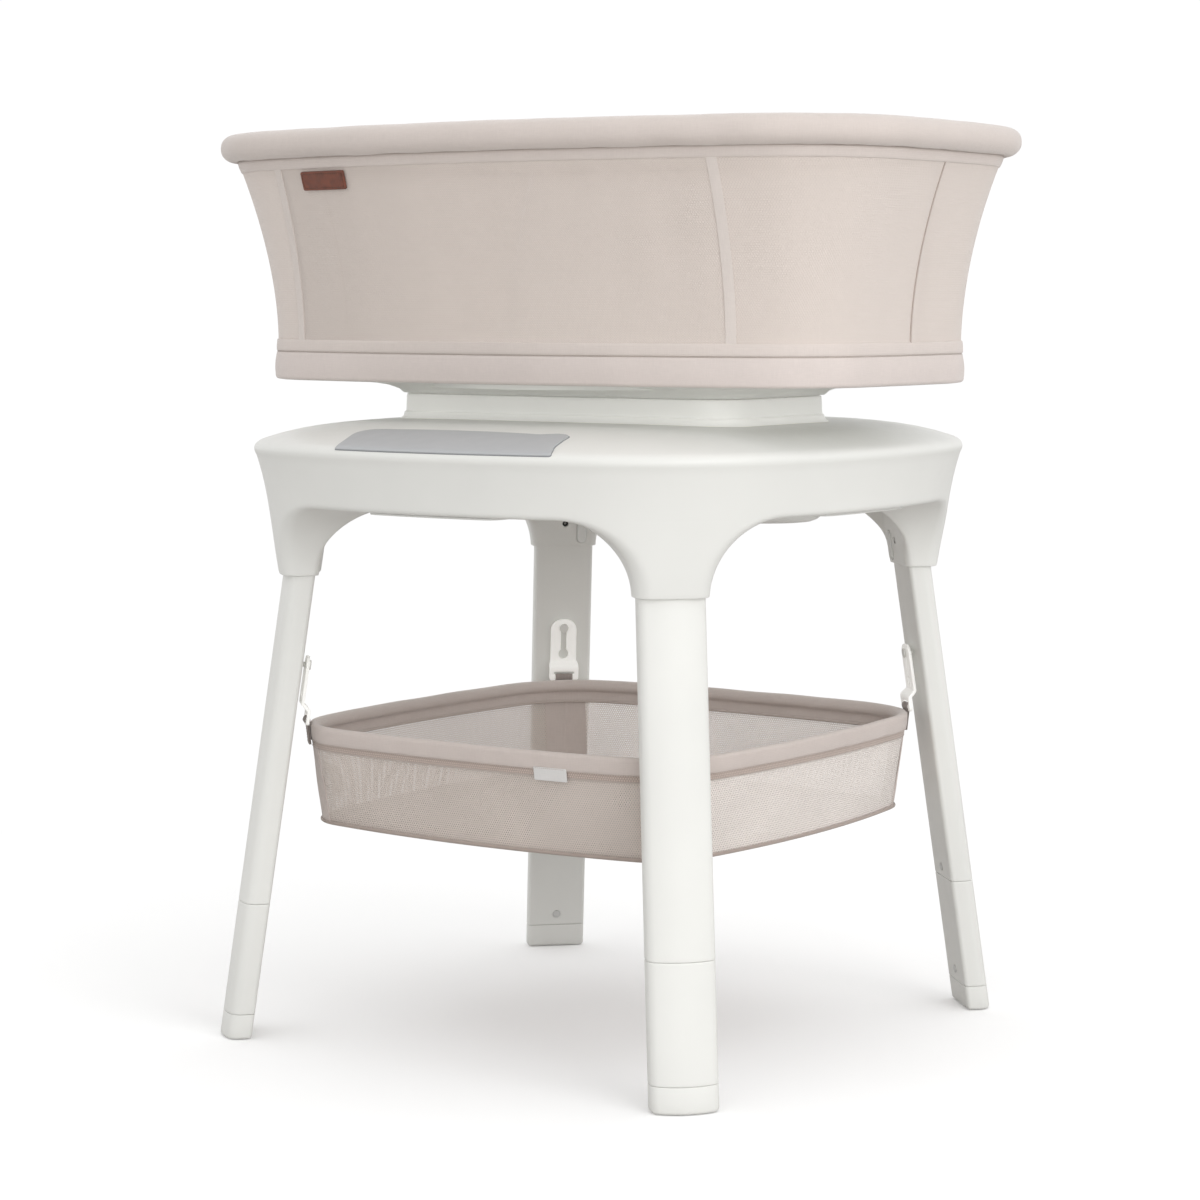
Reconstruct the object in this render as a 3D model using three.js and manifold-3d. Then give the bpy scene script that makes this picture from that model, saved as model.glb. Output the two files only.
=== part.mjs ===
// Bassinet on a four-legged powered stand, with a hanging storage basket.
// Millimetres, +Z up, origin on the floor under the centre.
// X runs along the length of the bassinet, -Y is the side with the touch panel.
import * as THREE from 'three';
import { mergeVertices } from 'three/addons/utils/BufferGeometryUtils.js';
import Module from 'manifold-3d';

const wasm = await Module();
wasm.setup();

// ---------------------------------------------------------------- dimensions
const GAP = 0.3;                 // clearance between touching pieces

// legs: straight posts that lean inwards along the diagonals
const LEG_A0 = 287.9;            // leg axis x and y at the floor
const LEG_SLOPE = 0.104;         // inward shift in x and in y per mm of height
const LEG_HALF_W = 33.75;        // half width across the flat inner face
const LEG_T = 31;                // thickness along the diagonal
const LEG_CROWN = 3.6;           // sagitta of the rounded outer face
const LEG_RO = 12;               // outer edge radius
const LEG_RI = 4.5;              // inner edge radius
const LEG_WALL = 2.4;
const FOOT_TOP = 26.4;           // seam between foot and extension
const EXT_TOP = 143.8;           // seam between extension and leg tube
const SOCKET_Z = 490;            // lower rim of the sockets
const LEG_TOP = 546;             // end of the leg tube inside its socket

// stand top
const TOP_A = 344.5;             // half side of the square top, at mid side
const TOP_K = 0.001427;          // bow of the sides (1/radius)
const TOP_R = 196;               // corner radius
const TOP_EDGE_Z = 627;
const TOP_DOME = 24;             // rise of the dome over the edge
const SKIRT_Z = 565;             // lower edge of the skirt at mid side
const SHELL_T = 3.5;
const SOCKET_GROW = 3.7;         // socket wall over the leg
const ARCH_R = 75;               // fillet between skirt and socket
// distance of the corner surface from the centre line, against height
const CORNER_D = [[484, 353.7], [490, 354.6], [520.3, 359.4], [547.9, 362.6], [570.7, 366.7], [598.4, 372.1], [621.1, 379.3], [627, 381.2]];

// pedestal and tray
const PED_A = 217, PED_B = 115, PED_R = 45, PED_TOP = 676.4, PED_T = 3;
const TRAY_Z0 = 677.4, TRAY_Z1 = 690.6, TRAY_A = 252, TRAY_B = 150;
const SWAY = 20;                 // sideways travel of the tray each way

// bassinet: outline at the skirt bottom, the mesh bottom and the rim seam
const SKIRT_BOT = { A: 365.0, B: 217.0, kx: 0.000767, ky: 0.00049, R: 100.7, z: 691.1 };
const MESH_BOT = { A: 364.9, B: 227.4, kx: 0.001075, ky: 0.000694, R: 101.7, z: 733.8 };
const RIM_SEAM = { A: 406.8, B: 258.8, kx: 0.000838, ky: 0.000943, R: 141.7, z: 922.9 };
const FLARE = 1.9;               // exponent of the concave flare
const RIM_Z = 937.6, RIM_HALF_W = 18.4, RIM_HALF_H = 15.0, RIM_TUBE_R = 8;
const RIB_X = 272;               // ribs on the long sides
const MATTRESS_T = 36;

// basket
const BK_TOP = { A: 266.5, B: 266.5, kx: 0.00058, ky: 0.00058, R: 103, z: 331.5 };
const BK_BOT = { A: 251, B: 251, kx: 0.00088, ky: 0.00088, R: 54, z: 226 };
const BK_BAND = 26;

// small parts
const HOOK_REF = 352, HOOK_Z1 = 404, HOOK_STAND = 5.2, HOOK_T = 3.4;
const BTN_Z = 155, FOOT_BTN_Z = 40, BTN_R = 4.3, BTN_OUT = 1.6;
const REL_Z = 513;

// ---------------------------------------------------------------- helpers
const V = (x, y, z) => new THREE.Vector3(x, y, z);
const lerp = (a, b, t) => a + (b - a) * t;
function table(t, z) {
  if (z <= t[0][0]) return t[0][1];
  for (let i = 1; i < t.length; i++) if (z <= t[i][0]) return lerp(t[i - 1][1], t[i][1], (z - t[i - 1][0]) / (t[i][0] - t[i - 1][0]));
  return t[t.length - 1][1];
}

// rounded rectangle with bowed sides, anticlockwise from +X; ns points on each half side, nc on each corner
function outline(o, ns = 3, nc = 5) {
  const { A, B } = o, kx = Math.max(o.kx, 1e-6), ky = Math.max(o.ky, 1e-6), R = o.R;
  const Rx = 1 / kx, Ry = 1 / ky, cy = -(Rx - B), cx = -(Ry - A), r1 = Rx - R, r2 = Ry - R;
  let x = A - R, y = B - R;
  for (let i = 0; i < 40; i++) {
    const f1 = x * x + (y - cy) ** 2 - r1 * r1, f2 = (x - cx) ** 2 + y * y - r2 * r2;
    const a = 2 * x, b = 2 * (y - cy), c = 2 * (x - cx), d = 2 * y, det = a * d - b * c;
    x += (-f1 * d + f2 * b) / det; y += (-a * f2 + c * f1) / det;
  }
  const q = [], a2 = Math.atan2(y, x - cx), a1 = Math.atan2(y - cy, x);
  for (let i = 0; i < ns; i++) { const t = a2 * i / ns; q.push([cx + Ry * Math.cos(t), Ry * Math.sin(t)]); }
  for (let i = 0; i < nc; i++) { const t = lerp(a2, a1, i / nc); q.push([x + R * Math.cos(t), y + R * Math.sin(t)]); }
  for (let i = 0; i < ns; i++) { const t = lerp(a1, Math.PI / 2, i / ns); q.push([Rx * Math.cos(t), cy + Rx * Math.sin(t)]); }
  const q1 = q.slice(), out = q1.concat([[0, B]]);
  for (let i = q1.length - 1; i >= 1; i--) out.push([-q1[i][0], q1[i][1]]);
  out.push([-A, 0]);
  for (let i = 1; i < q1.length; i++) out.push([-q1[i][0], -q1[i][1]]);
  out.push([0, -B]);
  for (let i = q1.length - 1; i >= 1; i--) out.push([q1[i][0], -q1[i][1]]);
  return out;
}
const scaled = (pts, s) => pts.map(p => [p[0] * s, p[1] * s]);
const inset = (o, d) => ({ A: o.A - d, B: o.B - d, kx: 1 / (1 / o.kx - d), ky: 1 / (1 / o.ky - d), R: Math.max(2, o.R - d), z: o.z });
const at = (pts, z) => pts.map(p => V(p[0], p[1], z));
function mix(a, b, t) { const r = {}; for (const k of Object.keys(a)) r[k] = lerp(a[k], b[k], t); return r; }

function finish(pos, idx) {
  const g = new THREE.BufferGeometry();
  let vol = 0;
  for (let i = 0; i < idx.length; i += 3) {
    const [a, b, c] = [idx[i] * 3, idx[i + 1] * 3, idx[i + 2] * 3];
    vol += pos[a] * (pos[b + 1] * pos[c + 2] - pos[b + 2] * pos[c + 1])
      - pos[a + 1] * (pos[b] * pos[c + 2] - pos[b + 2] * pos[c])
      + pos[a + 2] * (pos[b] * pos[c + 1] - pos[b + 1] * pos[c]);
  }
  if (vol < 0) for (let i = 0; i < idx.length; i += 3) { const t = idx[i + 1]; idx[i + 1] = idx[i + 2]; idx[i + 2] = t; }
  g.setAttribute('position', new THREE.Float32BufferAttribute(pos, 3));
  g.setIndex(idx);
  return g;
}
// solid through a stack of rings with the same number of points, capped by fans
function loft(rings) {
  const n = rings[0].length, pos = [], idx = [];
  for (const r of rings) for (const p of r) pos.push(p.x, p.y, p.z);
  for (let k = 0; k + 1 < rings.length; k++) for (let i = 0; i < n; i++) {
    const j = (i + 1) % n, a = k * n + i, b = k * n + j, c = a + n, d = b + n;
    idx.push(a, b, d, a, d, c);
  }
  const cap = (r, base, flip) => {
    const m = V(0, 0, 0); for (const p of r) m.add(p); m.multiplyScalar(1 / n);
    const ci = pos.length / 3; pos.push(m.x, m.y, m.z);
    for (let i = 0; i < n; i++) { const j = (i + 1) % n; if (flip) idx.push(ci, base + j, base + i); else idx.push(ci, base + i, base + j); }
  };
  cap(rings[0], 0, true); cap(rings[rings.length - 1], (rings.length - 1) * n, false);
  return finish(pos, idx);
}
// sections (equal point counts) joined along a path; closed, or with ladder caps between the two halves of a section
function sweep(sections, closed) {
  const m = sections[0].length, n = sections.length, pos = [], idx = [];
  for (const s of sections) for (const p of s) pos.push(p.x, p.y, p.z);
  const lim = closed ? n : n - 1;
  for (let k = 0; k < lim; k++) for (let i = 0; i < m; i++) {
    const k2 = (k + 1) % n, j = (i + 1) % m, a = k * m + i, b = k * m + j, c = k2 * m + i, d = k2 * m + j;
    idx.push(a, b, d, a, d, c);
  }
  if (!closed) for (const [base, flip] of [[0, true], [(n - 1) * m, false]]) {
    const h = m / 2;
    for (let i = 0; i + 1 < h; i++) {
      const a = base + i, b = base + i + 1, c = base + m - 2 - i, d = base + m - 1 - i;
      if (flip) idx.push(a, d, c, a, c, b); else idx.push(a, b, c, a, c, d);
    }
  }
  return finish(pos, idx);
}
// thin wall between an outer and an inner grid of points, grid[path][height]
const wall = (outer, inner, closed) => sweep(outer.map((col, i) => col.concat(inner[i].slice().reverse())), closed);

function toSolid(g) {
  const h = g.clone(); for (const k of Object.keys(h.attributes)) if (k !== 'position') h.deleteAttribute(k);
  const m = mergeVertices(h, 1e-4), idx = m.index.array, keep = [];
  for (let i = 0; i < idx.length; i += 3) if (idx[i] !== idx[i + 1] && idx[i] !== idx[i + 2] && idx[i + 1] !== idx[i + 2]) keep.push(idx[i], idx[i + 1], idx[i + 2]);
  return new wasm.Manifold(new wasm.Mesh({ numProp: 3, vertProperties: new Float32Array(m.attributes.position.array), triVerts: new Uint32Array(keep) }));
}
function toGeo(s) {
  const m = s.getMesh(), g = new THREE.BufferGeometry();
  g.setAttribute('position', new THREE.Float32BufferAttribute(Float32Array.from(m.vertProperties), 3));
  g.setIndex(Array.from(m.triVerts));
  return g;
}
const join = (...gs) => toGeo(gs.map(toSolid).reduce((a, b) => a.add(b)));
const cut = (g, ...cs) => toGeo(cs.map(toSolid).reduce((a, b) => a.subtract(b), toSolid(g)));
const put = (g, m) => g.clone().applyMatrix4(m);
const move = (g, x, y, z) => g.clone().translate(x, y, z);
// box centred in x and y, standing on z = 0, with rounded upright edges
function block(w, d, h, r = 0, seg = 3) {
  const s = new THREE.Shape(), a = w / 2, b = d / 2;
  if (r <= 0) { s.moveTo(-a, -b); s.lineTo(a, -b); s.lineTo(a, b); s.lineTo(-a, b); s.closePath(); }
  else {
    s.moveTo(-a + r, -b); s.lineTo(a - r, -b); s.absarc(a - r, -b + r, r, -Math.PI / 2, 0); s.lineTo(a, b - r); s.absarc(a - r, b - r, r, 0, Math.PI / 2);
    s.lineTo(-a + r, b); s.absarc(-a + r, b - r, r, Math.PI / 2, Math.PI); s.lineTo(-a, -b + r); s.absarc(-a + r, -b + r, r, Math.PI, 1.5 * Math.PI);
  }
  return new THREE.ExtrudeGeometry(s, { depth: h, bevelEnabled: false, curveSegments: seg });
}
// upright cylinder standing on z = 0
const cyl = (r, h, n = 16) => new THREE.CylinderGeometry(r, r, h, n).rotateX(Math.PI / 2).translate(0, 0, h / 2);

const bed = new THREE.Group();
const M = (color, roughness, metalness = 0) => ({ color, roughness, metalness });
const WHITE = M(0xeceae6, 0.42), WHITE2 = M(0xe6e5e1, 0.45), GREY = M(0xb4b5b8, 0.5), FABRIC = M(0xcfc1b9, 0.95), FABRIC2 = M(0xb9aaa3, 0.95);
const STEEL = M(0xb8babd, 0.3, 1), DARK = M(0x2b2b2d, 0.6), LEATHER = M(0x7a4a3a, 0.6), PCB = M(0x2d6b45, 0.5), FOAM = M(0xe9e2dc, 0.95);
function add(name, geometry, mat) {
  const m = new THREE.Mesh(geometry, new THREE.MeshStandardMaterial(mat));
  m.name = name; bed.add(m); return m;
}

// ---------------------------------------------------------------- legs
const LEGS = [['front_right', 1, -1], ['front_left', -1, -1], ['back_right', 1, 1], ['back_left', -1, 1]];
// D-shaped section, flat towards the centre: points [t, d]
function dSection(grow, W = LEG_HALF_W, T = LEG_T, crown = LEG_CROWN, nArc = 2, nCrown = 2, out = 0) {
  const w = W + grow, h0 = -T / 2 - grow, h1 = T / 2 + grow + out, ro = Math.max(2, LEG_RO + grow), ri = Math.max(1.5, LEG_RI + grow), p = [];
  for (let i = 0; i <= nArc; i++) { const a = -Math.PI / 2 + Math.PI / 2 * i / nArc; p.push([w - ri + ri * Math.cos(a), h0 + ri + ri * Math.sin(a)]); }
  const yc = h1 - crown - ro;
  for (let i = 0; i < nArc; i++) { const a = Math.PI / 2 * i / nArc; p.push([w - ro + ro * Math.cos(a), yc + ro * Math.sin(a)]); }
  for (let i = 0; i <= nCrown; i++) { const t = lerp(w - ro, -(w - ro), i / nCrown), u = t / (w - ro); p.push([t, h1 - crown * u * u]); }
  for (let i = 1; i <= nArc; i++) { const a = Math.PI / 2 + Math.PI / 2 * i / nArc; p.push([-w + ro + ro * Math.cos(a), yc + ro * Math.sin(a)]); }
  for (let i = 0; i <= nArc; i++) { const a = Math.PI + Math.PI / 2 * i / nArc; p.push([-w + ri + ri * Math.cos(a), h0 + ri + ri * Math.sin(a)]); }
  return p;
}
const legA = z => LEG_A0 - LEG_SLOPE * z;
// place section points around the leg axis at height z
function legRing(sx, sy, pts, z) {
  const er = [sx * Math.SQRT1_2, sy * Math.SQRT1_2], et = [-er[1], er[0]], a = legA(z);
  return pts.map(([t, d]) => V(sx * a + et[0] * t + er[0] * d, sy * a + et[1] * t + er[1] * d, z));
}
const legLoft = (sx, sy, stack) => loft(stack.map(([z, pts]) => legRing(sx, sy, pts, z)));
// matrix of a plate lying on the inner face: local x across (t), local y up the leg, local z towards the centre
function innerFace(sx, sy, z, off = 0) {
  const er = V(sx * Math.SQRT1_2, sy * Math.SQRT1_2, 0), et = V(-er.y, er.x, 0), a = legA(z), lean = LEG_SLOPE * Math.SQRT2;
  const up = V(-er.x * lean, -er.y * lean, 1).normalize(), n = new THREE.Vector3().crossVectors(et, up).normalize();
  const inward = n.dot(er) < 0 ? n : n.clone().negate(), x = new THREE.Vector3().crossVectors(up, inward).normalize();
  const p = V(sx * a, sy * a, z).addScaledVector(er, -LEG_T / 2).addScaledVector(inward, off);
  return new THREE.Matrix4().makeBasis(x, up, inward).setPosition(p);
}
const shade = (g, ...s) => s.reduce((m, f) => f(m), g);
// extruded plate drawn in x, y with thickness towards the centre
function plate(shape, t, seg = 4) { return new THREE.ExtrudeGeometry(shape, { depth: t, bevelEnabled: false, curveSegments: seg }); }
function pill(w, h) {
  const s = new THREE.Shape(), r = w / 2, b = h / 2 - r;
  s.moveTo(r, -b); s.lineTo(r, b); s.absarc(0, b, r, 0, Math.PI); s.lineTo(-r, -b); s.absarc(0, -b, r, Math.PI, 2 * Math.PI); return s;
}
const disc = (r, z0, z1, n = 10) => cyl(r, z1 - z0, n).translate(0, 0, z0);

for (const [name, sx, sy] of LEGS) {
  // leg tube, open at both ends
  const outer = legLoft(sx, sy, [[EXT_TOP + GAP, dSection(0)], [SOCKET_Z, dSection(0)], [LEG_TOP, dSection(0)]]);
  const bore = legLoft(sx, sy, [[EXT_TOP - 8, dSection(-LEG_WALL)], [LEG_TOP + 8, dSection(-LEG_WALL)]]);
  const face = innerFace(sx, sy, BTN_Z);
  const relFace = innerFace(sx, sy, REL_Z);
  const peg = put(join(disc(2.7, -1, HOOK_STAND + HOOK_T + 0.8, 8), disc(5.2, HOOK_STAND + HOOK_T + 0.5, HOOK_STAND + HOOK_T + 2.3, 10)), innerFace(sx, sy, HOOK_REF + 42));
  add(`leg_${name}`, cut(join(cut(outer, bore), peg), put(disc(BTN_R + GAP, -LEG_WALL - 2, 4), face), put(disc(3.75, -LEG_WALL - 2, 4), relFace)), WHITE);
  // lower extension with a spigot that slides up into the leg tube
  const body = legLoft(sx, sy, [[FOOT_TOP + GAP, dSection(0)], [EXT_TOP, dSection(0)]]);
  const spig = legLoft(sx, sy, [[EXT_TOP - 4, dSection(-LEG_WALL - 0.35)], [EXT_TOP + 46, dSection(-LEG_WALL - 0.35)]]);
  const hole = legLoft(sx, sy, [[FOOT_TOP - 8, dSection(-LEG_WALL - 2.6)], [EXT_TOP + 60, dSection(-LEG_WALL - 2.6)]]);
  const fface = innerFace(sx, sy, FOOT_BTN_Z);
  add(`leg_extension_${name}`, cut(join(body, spig), hole, put(disc(BTN_R + GAP, -9, 4), face), put(disc(BTN_R + GAP, -9, 4), fface)), WHITE);
  // foot cap with a plug inside the extension
  const foot = legLoft(sx, sy, [[0, dSection(-3)], [1.2, dSection(-1.2)], [3.5, dSection(0)], [FOOT_TOP, dSection(0)]]);
  const plug = legLoft(sx, sy, [[FOOT_TOP - 3, dSection(-LEG_WALL - 3)], [FOOT_TOP + 7, dSection(-LEG_WALL - 3)]]);
  add(`foot_${name}`, join(foot, plug), GREY.color ? M(0xe2e1dd, 0.6) : WHITE2);
  // snap buttons: domed heads through the inner face
  const snap = () => new THREE.LatheGeometry([[0, -7.5], [BTN_R, -7.5], [BTN_R, 0.6], [BTN_R * 0.8, BTN_OUT * 0.85], [0, BTN_OUT]].map(p => new THREE.Vector2(p[0], p[1])), 10).rotateX(Math.PI / 2);
  const btn = (n, m) => add(n, put(toClosed(snap()), m), M(0xd9d9d6, 0.4));
  btn(`extension_button_${name}`, face);
  btn(`foot_button_${name}`, fface);
}
// drop the seam of a lathe and merge its vertices
function toClosed(g) {
  const h = g.clone(); for (const k of Object.keys(h.attributes)) if (k !== 'position') h.deleteAttribute(k);
  const m = mergeVertices(h, 1e-4), idx = m.index.array, keep = [];
  for (let i = 0; i < idx.length; i += 3) if (idx[i] !== idx[i + 1] && idx[i] !== idx[i + 2] && idx[i + 1] !== idx[i + 2]) keep.push(idx[i], idx[i + 1], idx[i + 2]);
  return finish(Array.from(m.attributes.position.array), keep);
}

// ---------------------------------------------------------------- stand top
const TOP = { A: TOP_A, B: TOP_A, kx: TOP_K, ky: TOP_K, R: TOP_R };
const topPts = outline(TOP, 3, 5);
const sideScale = z => table(CORNER_D, z) / 381.2;
const domeZ = f => TOP_EDGE_Z + TOP_DOME * (1 - f ** 4);
// how far out a plan point lies, 1 on the top edge
function gauge(x, y) {
  let best = 0;
  for (let i = 0; i < topPts.length; i++) {
    const p = topPts[i], q = topPts[(i + 1) % topPts.length], nx = q[1] - p[1], ny = p[0] - q[0];
    best = Math.max(best, (nx * x + ny * y) / (nx * p[0] + ny * p[1]));
  }
  return best;
}
const domeRings = (fs, dz, d = 0) => fs.map(f => at(outline(inset({ ...TOP, A: TOP_A * f, B: TOP_A * f, kx: TOP_K / f, ky: TOP_K / f, R: TOP_R * f }, d), 3, 5), domeZ(f) + dz));
const DOME_F = [0.3, 0.56, 0.7, 0.82, 0.92, 0.985];
const slab = loft([
  ...domeRings(DOME_F, 0),
  at(scaled(topPts, 1), 626.4), at(scaled(topPts, sideScale(621.1)), 619.5), at(scaled(topPts, sideScale(598.4)), 598.4), at(scaled(topPts, sideScale(SKIRT_Z)), SKIRT_Z),
]);
const cavTop = { ...TOP };
const cavity = loft([
  ...domeRings([0.3, 0.6, 0.78, 0.92], -SHELL_T),
  at(outline(inset(cavTop, 7), 3, 5), 619), at(scaled(outline(inset(cavTop, SHELL_T), 3, 5), sideScale(598.4)), 598.4),
  at(scaled(outline(inset(cavTop, SHELL_T), 3, 5), sideScale(SKIRT_Z)), 560),
]);
function postRings(sx, sy, grow, zs) {
  return zs.map(z => {
    const u = Math.max(0, Math.min(1, (z - SOCKET_Z) / ARCH_R)), spread = ARCH_R - Math.sqrt(Math.max(0, ARCH_R ** 2 - (u * ARCH_R) ** 2));
    const w = LEG_HALF_W + spread, R = TOP_R * sideScale(z), D = table(CORNER_D, z);
    const inner = legA(z) * Math.SQRT2 - LEG_T / 2 - SOCKET_GROW, T = D - inner - 2 * SOCKET_GROW;
    const flat = w + SOCKET_GROW - LEG_RO - SOCKET_GROW, crown = R - Math.sqrt(R * R - flat * flat);
    const mid = inner + SOCKET_GROW + T / 2 - legA(z) * Math.SQRT2;
    return legRing(sx, sy, dSection(SOCKET_GROW, w, T, crown, 2, 5).map(([t, d]) => [t, d + mid]), z);
  });
}
// the release buttons sit beside the centre line of each inner face, on the side nearer the long edge of the stand
const relX = (sx, sy) => (sx * sy > 0 ? -19.5 : 19.5);
let shellSolid = toSolid(slab);
for (const [, sx, sy] of LEGS) shellSolid = shellSolid.add(toSolid(loft(postRings(sx, sy, 0, [SOCKET_Z, 508, 526, 541, 553, 561, 566]))));
shellSolid = shellSolid.subtract(toSolid(cavity));
for (const [, sx, sy] of LEGS) {
  shellSolid = shellSolid.subtract(toSolid(legLoft(sx, sy, [[SOCKET_Z - 8, dSection(GAP)], [LEG_TOP + 1, dSection(GAP)]])));
  const f = innerFace(sx, sy, REL_Z);
  shellSolid = shellSolid.subtract(toSolid(put(disc(3.75, -1, 12), f)));                                   // sight hole over the latch pin
  shellSolid = shellSolid.subtract(toSolid(put(move(plate(pill(12, 34), 14), relX(sx, sy), -3, 0.1), f)));    // window of the release button
}
const DRIVE_HOLE = move(block(150, 196, 60, 14), 0, 0, 610);
shellSolid = shellSolid.subtract(toSolid(DRIVE_HOLE));
const INLET_Z = 592, INLET_X = 60, INLET_Y = TOP_A * sideScale(INLET_Z) - INLET_X ** 2 * TOP_K / 2;
shellSolid = shellSolid.subtract(toSolid(cyl(8.3, 40, 16).rotateX(-Math.PI / 2).translate(INLET_X, INLET_Y - 20, INLET_Z)));
add('stand_shell', toGeo(shellSolid), WHITE);

// release buttons in the inner faces of the sockets
for (const [name, sx, sy] of LEGS) {
  const g = join(plate(pill(11.2, 33.2), 3.2), move(plate(pill(8.4, 30.4), 0.8), 0, 0, 3.1));
  add(`leg_release_${name}`, put(move(g, relX(sx, sy), -3, 2.0), innerFace(sx, sy, REL_Z)), M(0xa9aaac, 0.5));
}

// flat cover under the top, with a shallow oval well for the drive and a boss for the idler
const coverPts = scaled(outline(inset(cavTop, SHELL_T + 0.6), 3, 5), sideScale(SKIRT_Z));
const oval = (a, b, n = 24) => Array.from({ length: n }, (_, i) => [a * Math.cos(2 * Math.PI * i / n), b * Math.sin(2 * Math.PI * i / n)]);
const WELL = [loft([at(oval(70, 46), 552).map(p => p.add(V(190, -40, 0))), at(oval(88, 62), 558).map(p => p.add(V(190, -40, 0))), at(oval(92, 66), 564).map(p => p.add(V(190, -40, 0)))])];
add('stand_bottom_cover', join(loft([at(coverPts, 562), at(coverPts, 565)]), WELL[0], move(cyl(8, 78, 16), 0, 80, 564), move(cyl(3, 14, 12), 0, 80, 641)), WHITE2);

// touch panel following the dome and the rolled front edge
const PANEL_W = 127, PANEL_CX = 16, PANEL_Y0 = -264;
function panelGrid(off) {
  const cols = [], nx = 14, ny = 7;
  for (let i = 0; i <= nx; i++) {
    const x = PANEL_CX + lerp(-PANEL_W, PANEL_W, i / nx), ex = Math.max(0, Math.abs(x - PANEL_CX) - (PANEL_W - 12)), y0 = PANEL_Y0 - (12 - Math.sqrt(Math.max(0, 144 - ex * ex)));
    let yf = -TOP_A; for (let it = 0; it < 30; it++) yf *= 1 / gauge(x, yf) ** 1 * 0.985 ** 0; // on the edge
    yf = yf * 0.987;
    const col = [];
    for (let j = 0; j <= ny; j++) {
      const y = lerp(y0, yf, j / ny), f = gauge(x, y), z = domeZ(f), s = TOP_DOME * 4 * f ** 3 / TOP_A;
      col.push(V(x, y, z + off * 1).add(V(0, -off * s, 0)));
    }
    cols.push(col);
  }
  return cols;
}
add('control_panel', wall(panelGrid(2.0), panelGrid(0.75), false), M(0xb2b3b6, 0.35));

// ---------------------------------------------------------------- pedestal, rails and drive
const PED = { A: PED_A, B: PED_B, kx: 0.0002, ky: 0.0004, R: PED_R };
const domeCutter = loft([...domeRings([0.2, ...DOME_F.slice(1)], GAP + 0.25), at(scaled(topPts, 1), 600)]);
const ped = cut(loft([at(outline(PED, 1, 4), 636), at(outline(inset(PED, 2), 1, 4), 656), at(outline(inset(PED, 2.6), 1, 4), PED_TOP - 1.5), at(outline(inset(PED, 4), 1, 4), PED_TOP)]),
  domeCutter, loft([at(outline(inset(PED, PED_T + 3), 1, 4), 630), at(outline(inset(PED, PED_T + 3), 1, 4), PED_TOP - PED_T)]), move(block(176, 104, 30, 6), 0, 0, 660));
add('pedestal', ped, WHITE);
// two guide rods across the pedestal, with end feet on the walls
const RAIL_X = 68, RAIL_Z = 663.5, RAIL_R = 5;
const rod = x => cyl(RAIL_R, 2 * (PED_B - PED_T - 4.4), 12).rotateX(-Math.PI / 2).translate(x, -(PED_B - PED_T - 4.4), RAIL_Z);
add('guide_rail_left', rod(-RAIL_X), STEEL);
add('guide_rail_right', rod(RAIL_X), STEEL);

// tray: flared top that carries the bassinet, a neck through the pedestal and a slide block on the rails
const TRAY_IN = { A: PED_A + 1, B: PED_B + 1, kx: 0.0002, ky: 0.0004, R: PED_R + 1 };
const trayAt = t => mix(TRAY_IN, { A: TRAY_A, B: TRAY_B, kx: 0.0002, ky: 0.0004, R: 62 }, t);
const trayTop = cut(loft([at(outline(trayAt(0), 1, 4), TRAY_Z0), at(outline(trayAt(0.1), 1, 4), TRAY_Z0 + 4), at(outline(trayAt(0.4), 1, 4), TRAY_Z0 + 8.4), at(outline(trayAt(0.9), 1, 4), TRAY_Z1 - 1.6), at(outline(trayAt(1), 1, 4), TRAY_Z1)]),
  move(block(2 * PED_A - 60, 2 * PED_B - 40, 20, 20), 0, 0, TRAY_Z1 - 5));
const slideBlock = cut(join(move(block(164, 52, 17, 4), 0, 0, 654), move(block(120, 40, 12, 4), 0, 0, 669)),
  ...[-RAIL_X, RAIL_X].map(x => cyl(RAIL_R + 0.5, 80, 12).rotateX(-Math.PI / 2).translate(x, -40, RAIL_Z)));
const clampJaw = move(block(9, 20, 10), 19.2, 0, 645.5);
add('tray', join(trayTop, slideBlock, clampJaw), WHITE2);

// motor under the drive pulley, toothed belt round the drive pulley and the idler
const PUL_R = 12, BELT_T = 1.4, PUL_Y = 80;
add('drive_motor', join(move(cyl(28, 58, 20), 0, -PUL_Y, 565.3), move(cyl(9, 12, 16), 0, -PUL_Y, 622), move(cyl(3, 32, 12), 0, -PUL_Y, 622)), M(0x55585c, 0.45, 0.8));
const pulley = y => cut(join(move(cyl(PUL_R, 7, 14), 0, y, 646.4), move(cyl(PUL_R + 2, 1.2, 14), 0, y, 645.3), move(cyl(PUL_R + 2, 0.8, 14), 0, y, 653.2)), move(cyl(3.5, 20, 10), 0, y, 640));
add('drive_pulley', pulley(-PUL_Y), M(0x8d9094, 0.35, 0.9));
add('idler_pulley', pulley(PUL_Y), M(0x8d9094, 0.35, 0.9));
function beltLoop(r, n = 10) {
  const s = [];
  for (let i = 0; i <= n; i++) { const a = Math.PI * i / n; s.push([r * Math.cos(a), PUL_Y + r * Math.sin(a)]); }
  for (let i = 0; i <= n; i++) { const a = Math.PI + Math.PI * i / n; s.push([r * Math.cos(a), -PUL_Y + r * Math.sin(a)]); }
  return s;
}
const bIn = beltLoop(PUL_R + 0.35), bOut = beltLoop(PUL_R + 0.35 + BELT_T);
add('drive_belt', wall(bOut.map(p => [V(p[0], p[1], 647), V(p[0], p[1], 652.6)]), bIn.map(p => [V(p[0], p[1], 647), V(p[0], p[1], 652.6)]), true), DARK);

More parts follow.
